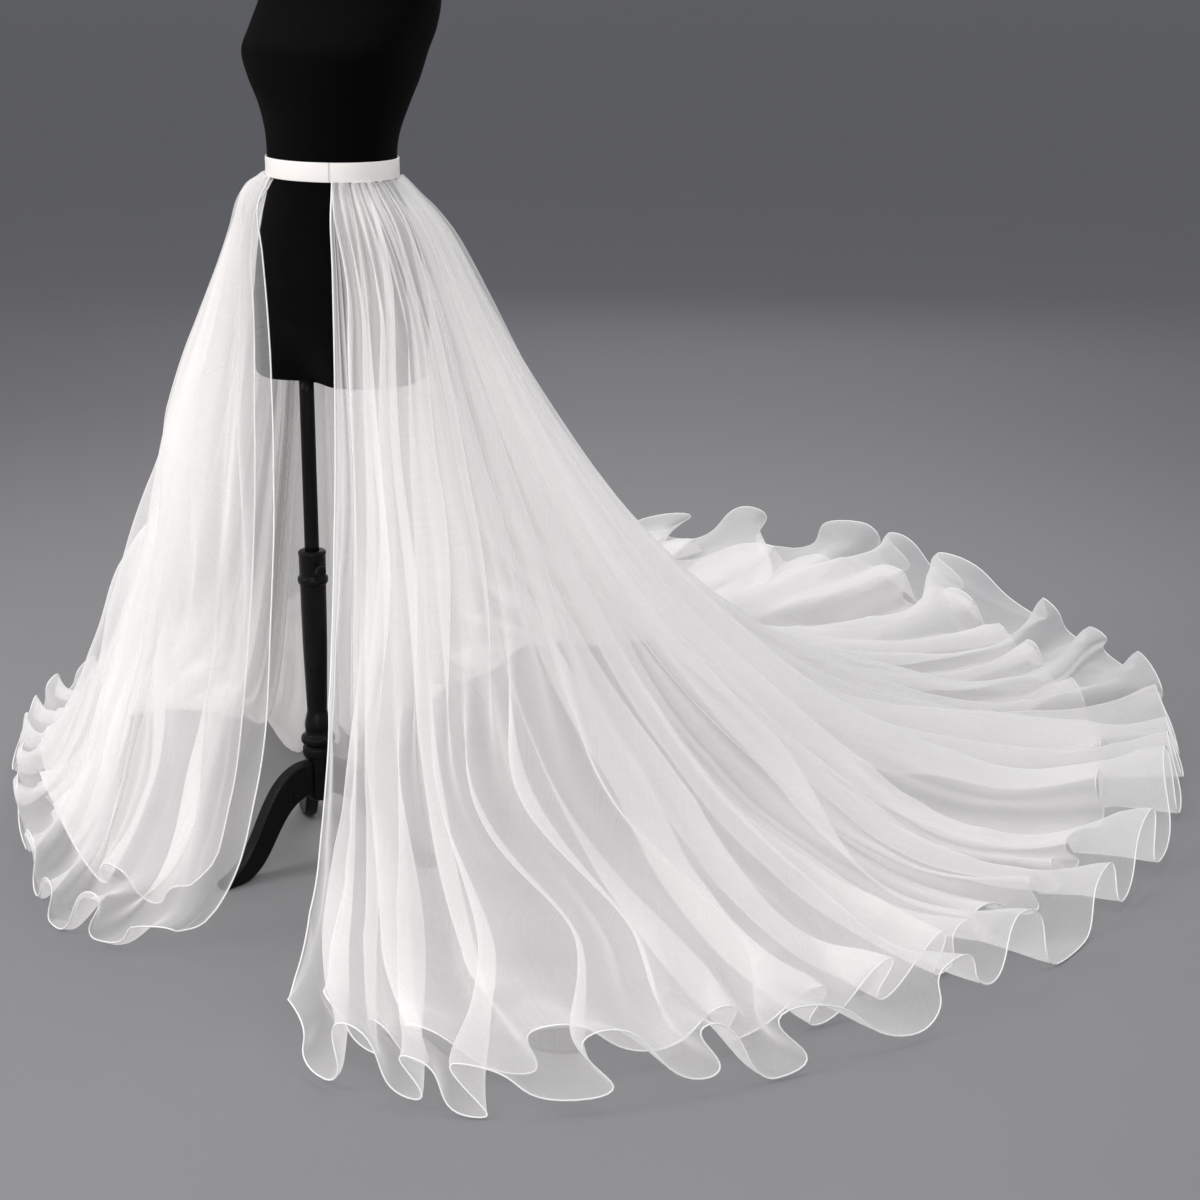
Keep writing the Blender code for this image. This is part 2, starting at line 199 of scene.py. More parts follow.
# (how far out of the socket, radius)
SCREW_PROFILE = (
    (0.0003, 0.0048),
    (0.0070, 0.0045),
    (0.0075, 0.0078),
    (0.0085, 0.0085),
    (0.0150, 0.0085),
    (0.0160, 0.0078),
    (0.0163, 0.0040),
)
SCREW_RIDGES = 18
SCREW_RIDGE_DEPTH = 0.0005
SCREW_HEAD_SHARE = 0.7

# Folds of the cloth. A side of a fold runs from a trough to a crest or back, so a fold has two.
STEPS_PER_SIDE = 15
ROWS_DOWN = 112
# The rows of points lie closer at both ends of the cloth: (how much closer, over what share of its length)
ROWS_AT_GATHERS = (9, 0.03)
ROWS_AT_HEM = (2.5, 0.08)
FOLD_COLUMNS = ("way_down", "height_share", "curl_share", "fine_share", "lean_share", "gap_m", "set_in_m")
FOLD_ROWS = (
    (0.00, 0.28, 0.00, 0.070, 0.28, 0.0020, 0.000),
    (0.02, 0.52, 0.04, 0.080, 0.50, 0.0040, 0.004),
    (0.08, 0.60, 0.08, 0.050, 0.98, 0.0090, 0.012),
    (0.20, 0.46, 0.09, 0.040, 1.00, 0.0160, 0.018),
    (0.38, 0.35, 0.09, 0.030, 1.00, 0.0240, 0.023),
    (0.57, 0.26, 0.08, 0.020, 0.95, 0.0260, 0.021),
    (0.76, 0.21, 0.06, 0.015, 0.88, 0.0240, 0.011),
    (1.00, 0.16, 0.03, 0.015, 0.64, 0.0200, 0.000),
)
# The folds change their width, height and lean over this many levels
FOLD_LEVELS = 5
WIDTH_SPREAD = 0.62
HEIGHT_SPREAD = 0.60
WIDE_FOLD_POWER = 0.7
DRIFT_FOLDS = 0.6
CURL_SPREAD = 0.35
FINE_FOLDS_PER_GORE = 19
FINE_FOLD_SHARE = 0.4
# Neighbouring folds lean the same way, in runs of about LEAN_RUN folds
LEAN_RUN = 3.5
LEAN_TURNS_DOWN = 1.2
LEAN_GAIN = 2.2
LEAN_SPREAD = 0.2
LEAN_EDGE_FOLDS = 2
# Folds stand higher where the cloth lies on the floor, and lower at the front edges
LYING_FOLD_GAIN = 0.7
LYING_GAP_SHARE = 0.6
EDGE_FOLD_SHARE = 0.2
# The flutes at a rolled edge: how much they add to the folds, and how far up the cloth
FLUTE_HEIGHT = 0.022
FLUTE_SPREAD = 0.35
FLUTE_EDGE_FOLDS = 1
FLUTE_REACH = 0.080
FLUTE_CURL = 0.20
CURL_REACH = 0.055
FLUTE_UPRIGHT = 0.9
SCALLOP = 0.014
CORNER_RADIUS = 0.090
# Folds drift and the cloth swells in broad waves: (how many round the skirt, how many down it). Both fade
# out towards the front edges, over one part in EDGE_PARTS of the way round.
DRIFTS = (8, 2.2)
SWELLS = (9, 2.5)
SWELL_HEIGHT = 0.012
EDGE_PARTS = 12
# Soft crumples and slanting drag lines: (how many round the skirt, how long down the cloth)
CRUMPLES = (55, 0.14)
FINE_CRUMPLES = (117, 0.07)
FINE_CRUMPLE_SHARE = 0.5
CRUMPLE_HEIGHT = 0.0040
DRAG_LINES = (34, 0.22)
DRAG_SLANT = (3, 9)
DRAG_SHARPNESS = 4
DRAG_LINE_HEIGHT = 0.0060
# They come on between a fifth and seven tenths of the way down
CRUMPLES_START = 0.4
CRUMPLES_RISE = 2
# The cloth is drawn in under the band over the first share of its length
TUCK_DEPTH = 0.0050
TUCK_SHARE = 0.006
FLOOR_SOFTNESS = 0.004
# The outer layer rests on the tops of the inner one's folds
LAYER_SOFTNESS = 0.004
LAYER_REST = 0.003
TOP_STEPS = 1600
TOP_SPREAD = (-2, 4)
TOP_SMOOTHING = 8
SET_BACK_COMES_ON = 0.12

LAYER_COLUMNS = ("name", "way_down", "edge_set_back", "flute_share", "seed")
LAYERS = (
    ("inner", 0.90, 0.052, 0.6, 11),
    ("outer", 1.00, 0.000, 1.0, 5),
)
# Each layer's cloth: (name, cover, through, shade), as organza says
ORGANZAS = (
    ("outer", 0.31, 0.45, 0.88),
    ("inner", 0.43, 0.48, 0.86),
)

# Sewing
EDGE_CORD = 0.0024
EDGE_CORD_SIDES = 6
BAND_STITCH = {"Pitch": 0.0027, "Stitch Length": 0.0021, "Thickness": 0.00045}
GATHER_STITCH = {"Pitch": 0.0040, "Stitch Length": 0.0026, "Thickness": 0.00040}
STITCH_LINE_UP = 0.0032
CLOSURE_LINE_DEG = 1.3
GATHER_LINE_DOWN = 0.0035
STITCH_RAISED = 0.3


def column(table, names, name):
    """One named column of a table, as an array."""
    return np.array([row[names.index(name)] for row in table], float)


def compass(bearing_deg):
    """Unit vector on the floor for a bearing."""
    angle = np.radians(bearing_deg)
    return np.stack([np.sin(angle), -np.cos(angle)], axis=-1)


def eased(share):
    """A share, held from 0 to 1, that starts and ends level."""
    share = np.clip(share, 0, 1)
    return share * share * (3 - 2 * share)


def rounded(share):
    """A share from 0 to 1 that follows half a wave."""
    return (1 - np.cos(math.pi * share)) / 2


def steps_between(points, axis=0):
    """How far it is from each point of a line or grid to the next one."""
    return np.linalg.norm(np.diff(points, axis=axis), axis=-1)


def added_up(steps, axis=0):
    """Where each step starts and, last, where they all end."""
    return np.insert(np.cumsum(steps, axis=axis), 0, 0.0, axis=axis)


def spline(values, per_span=40):
    """Catmull-Rom curve through the rows of values, with its ends carried straight on."""
    values = np.asarray(values, float)
    first, last = 2 * values[0] - values[1], 2 * values[-1] - values[-2]
    knots = np.vstack([first, values, last])
    t = np.linspace(0, 1, per_span, endpoint=False)[:, None]
    spans = []
    for a, b, c, d in zip(knots, knots[1:], knots[2:], knots[3:]):
        bend = 2 * a - 5 * b + 4 * c - d
        twist = 3 * (b - c) + d - a
        spans.append(b + 0.5 * t * (c - a + t * (bend + t * twist)))
    return np.vstack([*spans, values[-1:]])


def swells(x, y, seed):
    """Smooth noise from -1 to 1 over a plane, about one swell a unit."""
    table = np.random.default_rng(seed).uniform(-1, 1, (64, 64))
    column_at, row_at = np.floor(x).astype(int), np.floor(y).astype(int)
    across, down = eased(x - column_at), eased(y - row_at)
    left, right = (
        table[place % 64, row_at % 64] * (1 - down) + table[place % 64, (row_at + 1) % 64] * down
        for place in (column_at, column_at + 1)
    )
    return left * (1 - across) + right * across


def hem_curve():
    """Dense rows of (hem x, hem y, waist bearing, bow, plumb), and each one's share of the hem's length."""
    bearing, reach, *others = (column(HEM_STATIONS, HEM_COLUMNS, name) for name in HEM_COLUMNS)
    rows = spline(np.column_stack([compass(bearing) * reach[:, None], *others]))
    along = added_up(steps_between(rows[:, :2]))
    return rows, along / along[-1]


HEM_ROWS, HEM_ALONG = hem_curve()


def soft_floor(height):
    """A height that never goes below the floor, but turns softly to lie on it."""
    return PLUMB_SOFTNESS * np.logaddexp(0, height / PLUMB_SOFTNESS)


def hang(t, v):
    """The skirt without its folds: t goes round it, and v from 0 at the band to 1 at the hem."""
    u = t
    for count, share in SPACING_WAVES:
        turn = 2 * math.pi * count
        u = u + share * np.sin(turn * t) / turn
    hem_x, hem_y, waist, bow, plumb = (np.interp(u, HEM_ALONG, row) for row in HEM_ROWS.T)
    out = compass(waist)
    tuck = SKIRT_OUTSET - TUCK_DEPTH * np.exp(-((v / TUCK_SHARE) ** 2))
    top_x = out[..., 0] * (BAND_HALF_WIDTH + tuck)
    top_y = out[..., 1] * (BAND_HALF_DEPTH + tuck)
    run_x, run_y = hem_x - top_x, hem_y - top_y
    run = np.hypot(run_x, run_y)
    flare = WAIST_FLARE * (1 - np.exp(-((v / FLARE_SHARE) ** 2))) * (1 - v)
    side = bow * (1 - (1 - v) ** BOW_COMES_ON - v**BOW_GOES_OFF) / run
    x = top_x + run_x * v + out[..., 0] * flare - run_y * side
    y = top_y + run_y * v + out[..., 1] * flare + run_x * side
    hollow_fall = (1 - v) ** (HOLLOW_BASE + HOLLOW_PER_METRE * run)
    plumb_fall = (1 - v) * soft_floor(1 - v * run / PLUMB_REACH) / soft_floor(1)
    z = (BAND_LOW.z - SEAM_GAP) * (hollow_fall + np.clip(plumb, 0, 1) * (plumb_fall - hollow_fall))
    return np.stack([x, y, z], axis=-1)


def hang_frame(t, v):
    """(point, outward normal, direction round the skirt, metres round it per unit of t)."""
    step = 1e-4
    before, after = np.maximum(t - step, 0), np.minimum(t + step, 1)
    above, below = np.maximum(v - step, 0), np.minimum(v + step, 1)
    round_it = (hang(after, v) - hang(before, v)) / (after - before)[..., None]
    normal = np.cross(round_it, hang(t, below) - hang(t, above))
    normal[..., 2] *= v > 0
    normal /= np.linalg.norm(normal, axis=-1, keepdims=True)
    girth = np.linalg.norm(round_it, axis=-1)
    return hang(t, v), normal, round_it / girth[..., None], girth


def rows_down(last):
    """Where the rows of points lie from the band to a hem: closer at the gathers and at the hem."""
    v = np.linspace(0, last, 2001)
    (more_above, above), (more_below, below) = ROWS_AT_GATHERS, ROWS_AT_HEM
    weight = 1 + more_above * np.exp(-v / above) + more_below * np.exp(-(last - v) / below)
    passed = added_up((weight[1:] + weight[:-1]) / 2)
    return np.interp(np.linspace(0, passed[-1], ROWS_DOWN), passed, v)


def wander(rng, way_down, count):
    """A random number from -1 to 1 for each of count folds, changing smoothly on the way down."""
    table = rng.uniform(-1, 1, (FOLD_LEVELS, count))
    place = np.clip(way_down, 0, 1) * (FOLD_LEVELS - 1)
    above = np.minimum(place.astype(int), FOLD_LEVELS - 2)
    share = eased(place - above)[:, None]
    return table[above] * (1 - share) + table[above + 1] * share


def fold_places(rng, way_down):
    """Where each trough and crest stands round the skirt, in rows down. A gore keeps its own folds."""
    widths = np.exp(WIDTH_SPREAD * wander(rng, way_down, 2 * FOLD_COUNT))
    first = 0
    for place, folds in GORES:
        part = widths[:, first : first + 2 * folds]
        part /= part.sum(axis=1, keepdims=True) * len(GORES)
        first += 2 * folds
    return added_up(widths, axis=1)


def fold_share(name, way_down):
    """One column of the table of folds, at places down the cloth."""
    return np.interp(way_down, *(column(FOLD_ROWS, FOLD_COLUMNS, title) for title in ("way_down", name)))


def crests(count):
    """1 for each crest and -1 for each trough, in turn from a trough."""
    return np.where(np.arange(count) % 2, 1.0, -1.0)


def fold_measures(rng, levels, seed):
    """At each level, where the troughs and crests stand, and each one's height, flute and lean."""
    count = 2 * FOLD_COUNT + 1
    number = np.arange(count)
    places = fold_places(rng, levels)
    sign = crests(count)
    widths = np.diff(places, axis=1)
    periods = np.hstack([2 * widths[:, :1], widths[:, 1:] + widths[:, :-1], 2 * widths[:, -1:]])
    fullness = (periods * FOLD_COUNT) ** WIDE_FOLD_POWER
    heights = sign * fullness * (1 + HEIGHT_SPREAD * wander(rng, levels, count))
    from_edge = np.minimum(number, count - 1 - number) / 2
    heights = heights * np.clip(EDGE_FOLD_SHARE + from_edge, 0, 1)
    flutes = sign * np.sqrt(fullness) * (1 + FLUTE_SPREAD * wander(rng, levels, count))
    flutes = flutes * np.clip(from_edge / FLUTE_EDGE_FOLDS, 0, 1)
    down = np.broadcast_to(levels[:, None] * LEAN_TURNS_DOWN, places.shape)
    tilt = np.clip(LEAN_GAIN * swells(places * FOLD_COUNT / LEAN_RUN, down, seed + 5), -1, 1)
    tilt = tilt * (1 - LEAN_SPREAD + LEAN_SPREAD * wander(rng, levels, count))
    tilt = tilt * np.clip(from_edge / LEAN_EDGE_FOLDS, 0, 1)
    reach = fold_share("lean_share", levels)[:, None]
    return places, heights, flutes, reach * periods * tilt * (sign > 0)


def between(values, side, share):
    """Values at the folds' troughs and crests, passed on along the sides between them."""
    return values[:, side] * (1 - share) + values[:, side + 1] * share


def fine_folds(rng, way_down, cloth_share):
    """Smaller folds that come and go between the main ones, from -1 to 1."""
    sides = 2 * FINE_FOLDS_PER_GORE * len(GORES)
    place = cloth_share * sides
    side = np.minimum(place.astype(int), sides - 1)
    heights = crests(sides + 1) * np.clip(FINE_FOLD_SHARE + wander(rng, way_down, sides + 1), 0, 1)
    return between(heights, side, rounded(place - side))


def lay_layer(name, way_down, edge_set_back, flute_share, seed, below=None):
    """One whole layer of cloth as a grid of points, rows down and columns round, with its own measures.

    below is the layer underneath, which this one rests on."""
    rng = np.random.default_rng(seed)
    levels = rows_down(way_down)
    sides = 2 * FOLD_COUNT
    step = np.arange(sides * STEPS_PER_SIDE + 1)
    side = np.minimum(step // STEPS_PER_SIDE, sides - 1)
    share = step / STEPS_PER_SIDE - side
    ease = rounded(share)

    places, heights, flutes, leans = fold_measures(rng, levels, seed)
    t = between(places, side, share)
    edge = eased(np.minimum(t, 1 - t) * EDGE_PARTS)
    v = np.broadcast_to(levels[:, None], t.shape)
    hem_girth = steps_between(hang(t[-1], v[-1])).sum()
    missing = np.clip(CORNER_RADIUS - np.minimum(t[-1], 1 - t[-1]) * hem_girth, 0, CORNER_RADIUS)
    v = v * (1 - CORNER_RADIUS + np.sqrt(CORNER_RADIUS**2 - missing**2))
    drift = swells(t * DRIFTS[0], v * DRIFTS[1], seed + 7)
    t = t + DRIFT_FOLDS / FOLD_COUNT * edge * drift
    girth = steps_between(hang(t, v), axis=1).sum(axis=1)
    set_back = (edge_set_back * eased(levels / SET_BACK_COMES_ON) / girth)[:, None]
    t = set_back + t * (1 - 2 * set_back)

    down = added_up(steps_between(hang(t, v)))
    above_hem = down[-1] - down
    height_share, curl_share, fine_share, gap, set_in = (
        fold_share(name, v) for name in ("height_share", "curl_share", "fine_share", "gap_m", "set_in_m")
    )
    flute_curl = FLUTE_CURL * flute_share
    curl = curl_share + (flute_curl - curl_share) * np.exp(-((above_hem / CURL_REACH) ** 2))
    curl = curl * (1 + CURL_SPREAD * between(wander(rng, levels, sides + 1), side, ease))
    curl = curl * np.clip(np.minimum(step, step[-1] - step) / (2 * STEPS_PER_SIDE), 0, 1)
    widths = np.diff(places, axis=1)
    folded = t + curl * widths[:, side] * np.sin(2 * math.pi * share) + between(leans, side, ease)
    folded = np.clip(folded, set_back, 1 - set_back)

    point, normal, along, girth = hang_frame(folded, v)
    pitch = girth / FOLD_COUNT
    lying = np.clip(normal[..., 2], 0, 1)
    fold = height_share * pitch / 2 * (1 + LYING_FOLD_GAIN * lying)
    flute = flute_share * FLUTE_HEIGHT / 2 * np.exp(-((above_hem / FLUTE_REACH) ** 1.5))
    ruffle = between(flutes, side, ease)
    relief = fold * between(heights, side, ease) + flute * ruffle
    relief = relief + fine_share * pitch * fine_folds(rng, levels, step / step[-1])
    swell = swells(t * SWELLS[0], v * SWELLS[1], seed + 1)
    relief = relief + SWELL_HEIGHT * np.sin(math.pi * v) * edge * swell
    crumple = swells(t * CRUMPLES[0], down / CRUMPLES[1], seed + 2)
    crumple = crumple + FINE_CRUMPLE_SHARE * swells(t * FINE_CRUMPLES[0], down / FINE_CRUMPLES[1], seed + 3)
    drag_round = t * DRAG_LINES[0] + down * DRAG_SLANT[0]
    drag_down = down / DRAG_LINES[1] - t * DRAG_SLANT[1]
    drag = (1 - np.abs(swells(drag_round, drag_down, seed + 4))) ** DRAG_SHARPNESS
    low_down = np.clip(v * CRUMPLES_RISE - CRUMPLES_START, 0, 1)
    relief = relief + low_down * (CRUMPLE_HEIGHT * crumple + DRAG_LINE_HEIGHT * drag)
    if below is None:
        relief = relief - gap
    else:
        higher = relief - LAYER_REST - np.stack([below_at(below, *place) for place in zip(folded, levels)])
        relief = relief + (np.sqrt(higher**2 + LAYER_SOFTNESS**2) - higher) / 2

    # a flute stands up from the floor, and its troughs reach further out than its crests
    near_hem = np.exp(-((above_hem / FLUTE_REACH) ** 2))
    push = normal + FLUTE_UPRIGHT * near_hem[..., None] * (0, 0, 1)
    push /= np.linalg.norm(push, axis=-1, keepdims=True)
    scallop = -SCALLOP * flute_share * near_hem * ruffle
    out = relief - set_in * (1 - lying)
    place = point + push * out[..., None] + np.cross(normal, along) * scallop[..., None]
    place[..., 2] += np.clip(push[..., 2], 0, 1) * (fold + flute) + lying**2 * gap * LYING_GAP_SHARE
    clear = place[..., 2] - EDGE_CORD / 2
    place[..., 2] = EDGE_CORD / 2 + (clear + np.sqrt(clear**2 + FLOOR_SOFTNESS**2)) / 2
    return {"name": name, "points": place + AXIS, "levels": levels, "top": top_of(folded, relief)}


def top_of(folded, relief):
    """The highest that each row of a layer stands, at TOP_STEPS even places round the skirt."""
    columns = folded.shape[1]
    fine = np.linspace(0, columns - 1, 6 * columns)
    tops = []
    for places, heights in zip(folded, relief):
        at = np.interp(fine, np.arange(columns), places)
        height = np.interp(fine, np.arange(columns), heights)
        top = np.full(TOP_STEPS, -np.inf)
        np.maximum.at(top, np.minimum((at * TOP_STEPS).astype(int), TOP_STEPS - 1), height)
        found = np.isfinite(top)
        tops.append(np.interp(np.arange(TOP_STEPS), np.flatnonzero(found), top[found]))
    tops = np.array(tops)
    for shift in TOP_SPREAD:
        tops = np.maximum(tops, np.roll(tops, shift, axis=1))
    for turn in range(TOP_SMOOTHING):
        tops[:, 1:-1] = (tops[:, :-2] + 2 * tops[:, 1:-1] + tops[:, 2:]) / 4
        tops[1:-1] = (tops[:-2] + 2 * tops[1:-1] + tops[2:]) / 4
    return tops


def below_at(layer, places, level):
    """How high the layer underneath stands at places round the skirt, at one level."""
    if level > layer["levels"][-1]:
        return np.full(places.shape, -1.0)
    row = max(int(np.searchsorted(layer["levels"], level)), 1)
    low, high = layer["levels"][row - 1 : row + 1]
    share = (level - low) / (high - low)
    centres = (np.arange(TOP_STEPS) + 0.5) / TOP_STEPS
    upper, lower = (np.interp(places, centres, layer["top"][r]) for r in (row - 1, row))
    return upper * (1 - share) + lower * share


def grid_normals(points):
    """Unit normals of a grid of points, rows down and columns round, that point outwards."""
    round_it = np.gradient(points, axis=1)
    down = np.gradient(points, axis=0)
    normal = np.cross(round_it, down)
    return normal / np.maximum(np.linalg.norm(normal, axis=-1, keepdims=True), 1e-12)


def grid_corners(rows, columns):
    """The corners of each four-sided face over a grid of points, which face along (columns x rows)."""
    at = np.arange(rows * columns).reshape(rows, columns)
    corners = (at[:-1, :-1], at[:-1, 1:], at[1:, 1:], at[1:, :-1])
    return np.stack([corner.ravel() for corner in corners], axis=1)


def new_piece(name, points, faces, material=None, edges=()):
    """A named mesh object, in the row's frame."""
    mesh = bpy.data.meshes.new(name)
    mesh.from_pydata([tuple(point) for point in points], edges, faces)
    if material:
        mesh.materials.append(material)
    mesh.polygons.foreach_set("use_smooth", [True] * len(mesh.polygons))
    piece = bpy.data.objects.new(name, mesh)
    bpy.context.scene.collection.objects.link(piece)
    return piece


def set_uv(piece, name, corners):
    """Gives each face corner of a piece its place on the flat material, in metres, as a UV map."""
    piece.data.uv_layers.new(name=name).data.foreach_set("uv", np.asarray(corners, float).ravel())


def flat_places(cloth):
    """Where each point of a gore lies on the flat cloth: metres across from its middle, and metres up."""
    across = added_up(steps_between(cloth, axis=1), axis=1)
    across -= across[:, -1:] / 2
    down = added_up(steps_between(cloth).mean(axis=1))
    return np.stack([across, np.broadcast_to(-down[:, None], across.shape)], axis=-1)


def cut_gores(layer, material):
    """The six gores of a layer, each with its flat cut: (piece, (width, length), area), in metres."""
    points, normals = layer["points"], grid_normals(layer["points"])
    first = 0
    gores = []
    for place, folds in GORES:
        last = first + 2 * folds * STEPS_PER_SIDE
        part = slice(first, last + 1)
        first = last
        cloth, facing = points[:, part], normals[:, part]
        corners = grid_corners(*cloth.shape[:2])
        piece = new_piece(f"{layer['name']}_cloth_{place}", cloth.reshape(-1, 3), corners.tolist(), material)
        flat = flat_places(cloth)
        set_uv(piece, "flat_cloth", flat.reshape(-1, 2)[corners.ravel()])
        piece.data.normals_split_custom_set_from_vertices(facing.reshape(-1, 3).tolist())
        widths = np.ptp(flat[..., 0], axis=1)
        steps = -np.diff(flat[:, 0, 1])
        area = float(((widths[1:] + widths[:-1]) / 2 * steps).sum())
        gores.append((piece, (float(widths.max()), float(steps.sum())), area))
    return gores


def loft(name, rings, material, flat=None):
    """A closed skin over rings of points, from the foot up, with a point in the middle of each end.

    flat is each ring point's place on the flat material, with one more point a ring, where it joins up."""
    rings = np.asarray(rings, float)
    levels, sides = rings.shape[:2]
    corners = grid_corners(levels, sides + 1)
    row, side = np.divmod(corners, sides + 1)
    faces = (row * sides + side % sides).tolist()
    points = np.vstack([rings.reshape(-1, 3), rings[0].mean(axis=0), rings[-1].mean(axis=0)])
    top = (levels - 1) * sides
    places = [] if flat is None else list(np.asarray(flat).reshape(-1, 2)[corners.ravel()])
    for here in range(sides):
        after = (here + 1) % sides
        faces.append((here, levels * sides, after))
        faces.append((top + here, top + after, levels * sides + 1))
        if flat is not None:
            places += [flat[0][here], flat[0][here], flat[0][here + 1]]
            places += [flat[-1][here], flat[-1][here + 1], flat[-1][here + 1]]
    piece = new_piece(name, points + AXIS, faces, material)
    if flat is not None:
        set_uv(piece, "flat_cloth", places)
    return piece


def wrapped_lengths(rings):
    """Flat places over rings of points: metres round each ring, and metres along from the first one."""
    rings = np.asarray(rings, float)
    wrapped = np.concatenate([rings, rings[:, :1]], axis=1)
    round_it = added_up(steps_between(wrapped, axis=1), axis=1)
    along = added_up(steps_between(rings).mean(axis=1))
    return np.stack([round_it, np.broadcast_to(along[:, None], round_it.shape)], axis=-1)


def turned(name, profile, material):
    """A piece turned about the stand's axis from (height, radius) rows."""
    ring = compass(np.linspace(0, 360, ROUND_SIDES, endpoint=False))
    rows = spline(profile, per_span=6)
    heights = np.ones(ROUND_SIDES)
    rings = [np.column_stack([ring * radius, heights * height]) + POLE_AXIS for height, radius in rows]
    return loft(name, rings, material)


def form_ring(height, half_width, half_depth, set_back, squareness, inset=0.0, raised=0.0):
    """Points round the dress form at one height."""
    angle = np.linspace(0, 2 * math.pi, FORM_SIDES, endpoint=False)
    across, ahead = np.sin(angle), -np.cos(angle)
    power = 2 / squareness
    x = (half_width - inset) * np.sign(across) * np.abs(across) ** power
    y = (half_depth - inset) * np.sign(ahead) * np.abs(ahead) ** power
    off_centre = np.abs((angle + math.pi / 2) % math.pi - math.pi / 2)
    fade = np.clip((CLEFT_TOP - height) / (CLEFT_TOP - FORM_SECTIONS[0][0]), 0, 1)
    y *= 1 - CLEFT_DEPTH * fade * np.exp(-((off_centre / CLEFT_HALF_ANGLE) ** 2))
    return np.column_stack([x, y + set_back, np.full(FORM_SIDES, height + raised)])


def dress_form(material):
    """The padded torso, smooth from the thigh cut to the neck, with softly rounded rims."""
    sections = spline(FORM_SECTIONS, per_span=8)
    quarter = np.radians(np.linspace(0, 90, 7))
    foot, neck = sections[0], sections[-1]
    rings = [form_ring(*foot, FORM_RIM * (1 - np.sin(a)), FORM_RIM * (1 - np.cos(a))) for a in quarter]
    rings += [form_ring(*section) for section in sections if FORM_RIM < section[0] - foot[0]]
    rings = [ring for ring in rings if ring[0, 2] < neck[0] - FORM_RIM]
    rings += [form_ring(*neck, FORM_RIM * (1 - np.cos(a)), -FORM_RIM * (1 - np.sin(a))) for a in quarter]
    return loft("dress_form_jersey", rings, material, wrapped_lengths(rings))


def band_face(run, inset, height):
    """Points on the band's outer face. run goes from 0 at the closure to 1 at the end that laps under."""
    bearing = CLOSURE_BEARING - run * (360 + LAP_DEG)
    under = eased((run * (360 + LAP_DEG) - 360 + LAP_DEG) / (2 * LAP_DEG))
    reach = np.array([BAND_HALF_WIDTH, BAND_HALF_DEPTH]) - np.asarray(inset + LAP_STEP * under)[..., None]
    return np.concatenate([compass(bearing) * reach, np.asarray(height)[..., None]], axis=-1)


def waistband(material):
    """The satin strip, folded over at both edges, with its end lapped over the start."""
    corner = np.radians(np.linspace(-90, 0, 5))
    outline = []
    for middle, first in ((BAND_EDGE_RADIUS, 0.0), (BAND_RISE - BAND_EDGE_RADIUS, math.pi / 2)):
        for a in corner + first:
            outline.append((BAND_EDGE_RADIUS * (1 - math.cos(a)), middle + BAND_EDGE_RADIUS * math.sin(a)))
    inner_face = BAND_WALL - LAP_STEP
    outline += [(inner_face, BAND_RISE - BAND_INNER_EDGE), (inner_face, BAND_INNER_EDGE)]
    inset, up = np.array(outline).T
    runs = np.linspace(0, 1, BAND_STEPS + 1)
    rings = [band_face(np.full(len(inset), run), inset, BAND_LOW.z + up) for run in runs]
    return loft("waistband_strip", rings, material, wrapped_lengths(rings)[..., ::-1])


def bezier(a, b, c, d):
    """LEG_STEPS points along a cubic curve."""
    t = np.linspace(0, 1, LEG_STEPS)[:, None]
    a, b, c, d = (np.array(point) for point in (a, b, c, d))
    return (1 - t) ** 3 * a + 3 * (1 - t) ** 2 * t * b + 3 * (1 - t) * t**2 * c + t**3 * d


def leg(name, bearing, material):
    """One curved leg, cut from a board with its edges rounded over."""
    root = HUB_PROFILE[3][1] + SEAM_GAP
    over = bezier((root, LEG_ROOT_TOP), *LEG_KNEE, (LEG_REACH, FOOT_HEIGHT))
    under = bezier((LEG_REACH - FOOT_LENGTH, 0.0), *LEG_HOLLOW, (root, LEG_ROOT_BOTTOM))
    outline = np.vstack([over, [(LEG_REACH, 0.0)], under])
    out, side = compass(bearing), compass(bearing + 90)
    shape = bmesh.new()
    corners = []
    for across in (-LEG_WIDTH / 2, LEG_WIDTH / 2):
        flat = outline[:, :1] * out + across * side
        points = np.column_stack([flat, outline[:, 1]]) + POLE_AXIS + AXIS
        corners.append([shape.verts.new(point) for point in points])
    one, other = corners
    count = len(one)
    shape.faces.new(one[::-1])
    shape.faces.new(other)
    for k in range(count):
        n = (k + 1) % count
        shape.faces.new((one[k], one[n], other[n], other[k]))
    bmesh.ops.recalc_face_normals(shape, faces=shape.faces)
    mesh = bpy.data.meshes.new(name)
    shape.to_mesh(mesh)
    shape.free()
    mesh.materials.append(material)
    mesh.shade_smooth()
    mesh.set_sharp_from_angle(angle=math.radians(LEG_SHARP_DEG))
    piece = bpy.data.objects.new(name, mesh)
    bpy.context.scene.collection.objects.link(piece)
    bevel = piece.modifiers.new("rounded_edges", "BEVEL")
    bevel.width = LEG_ROUNDING
    bevel.segments = 3
    bevel.limit_method = "ANGLE"
    bevel.angle_limit = math.radians(LEG_ROUNDED_DEG)
    bevel.harden_normals = True
    return piece


def thumb_screw(material):
    """The screw that clamps the pole, with a ridged head."""
    out, side = compass(SCREW_BEARING), compass(SCREW_BEARING + 90)
    angle = np.linspace(0, 2 * math.pi, 6 * SCREW_RIDGES, endpoint=False)
    head = max(radius for reach, radius in SCREW_PROFILE) * SCREW_HEAD_SHARE
    rings = []
    for reach, radius in SCREW_PROFILE:
        radii = radius + SCREW_RIDGE_DEPTH * np.cos(SCREW_RIDGES * angle) * (radius > head)
        flat = out * (SOCKET_RADIUS + reach) + side * (radii * np.cos(angle))[:, None]
        rings.append(np.column_stack([flat, SCREW_HEIGHT + radii * np.sin(angle)]) + POLE_AXIS)
    return loft("thumb_screw_knob", rings, material)


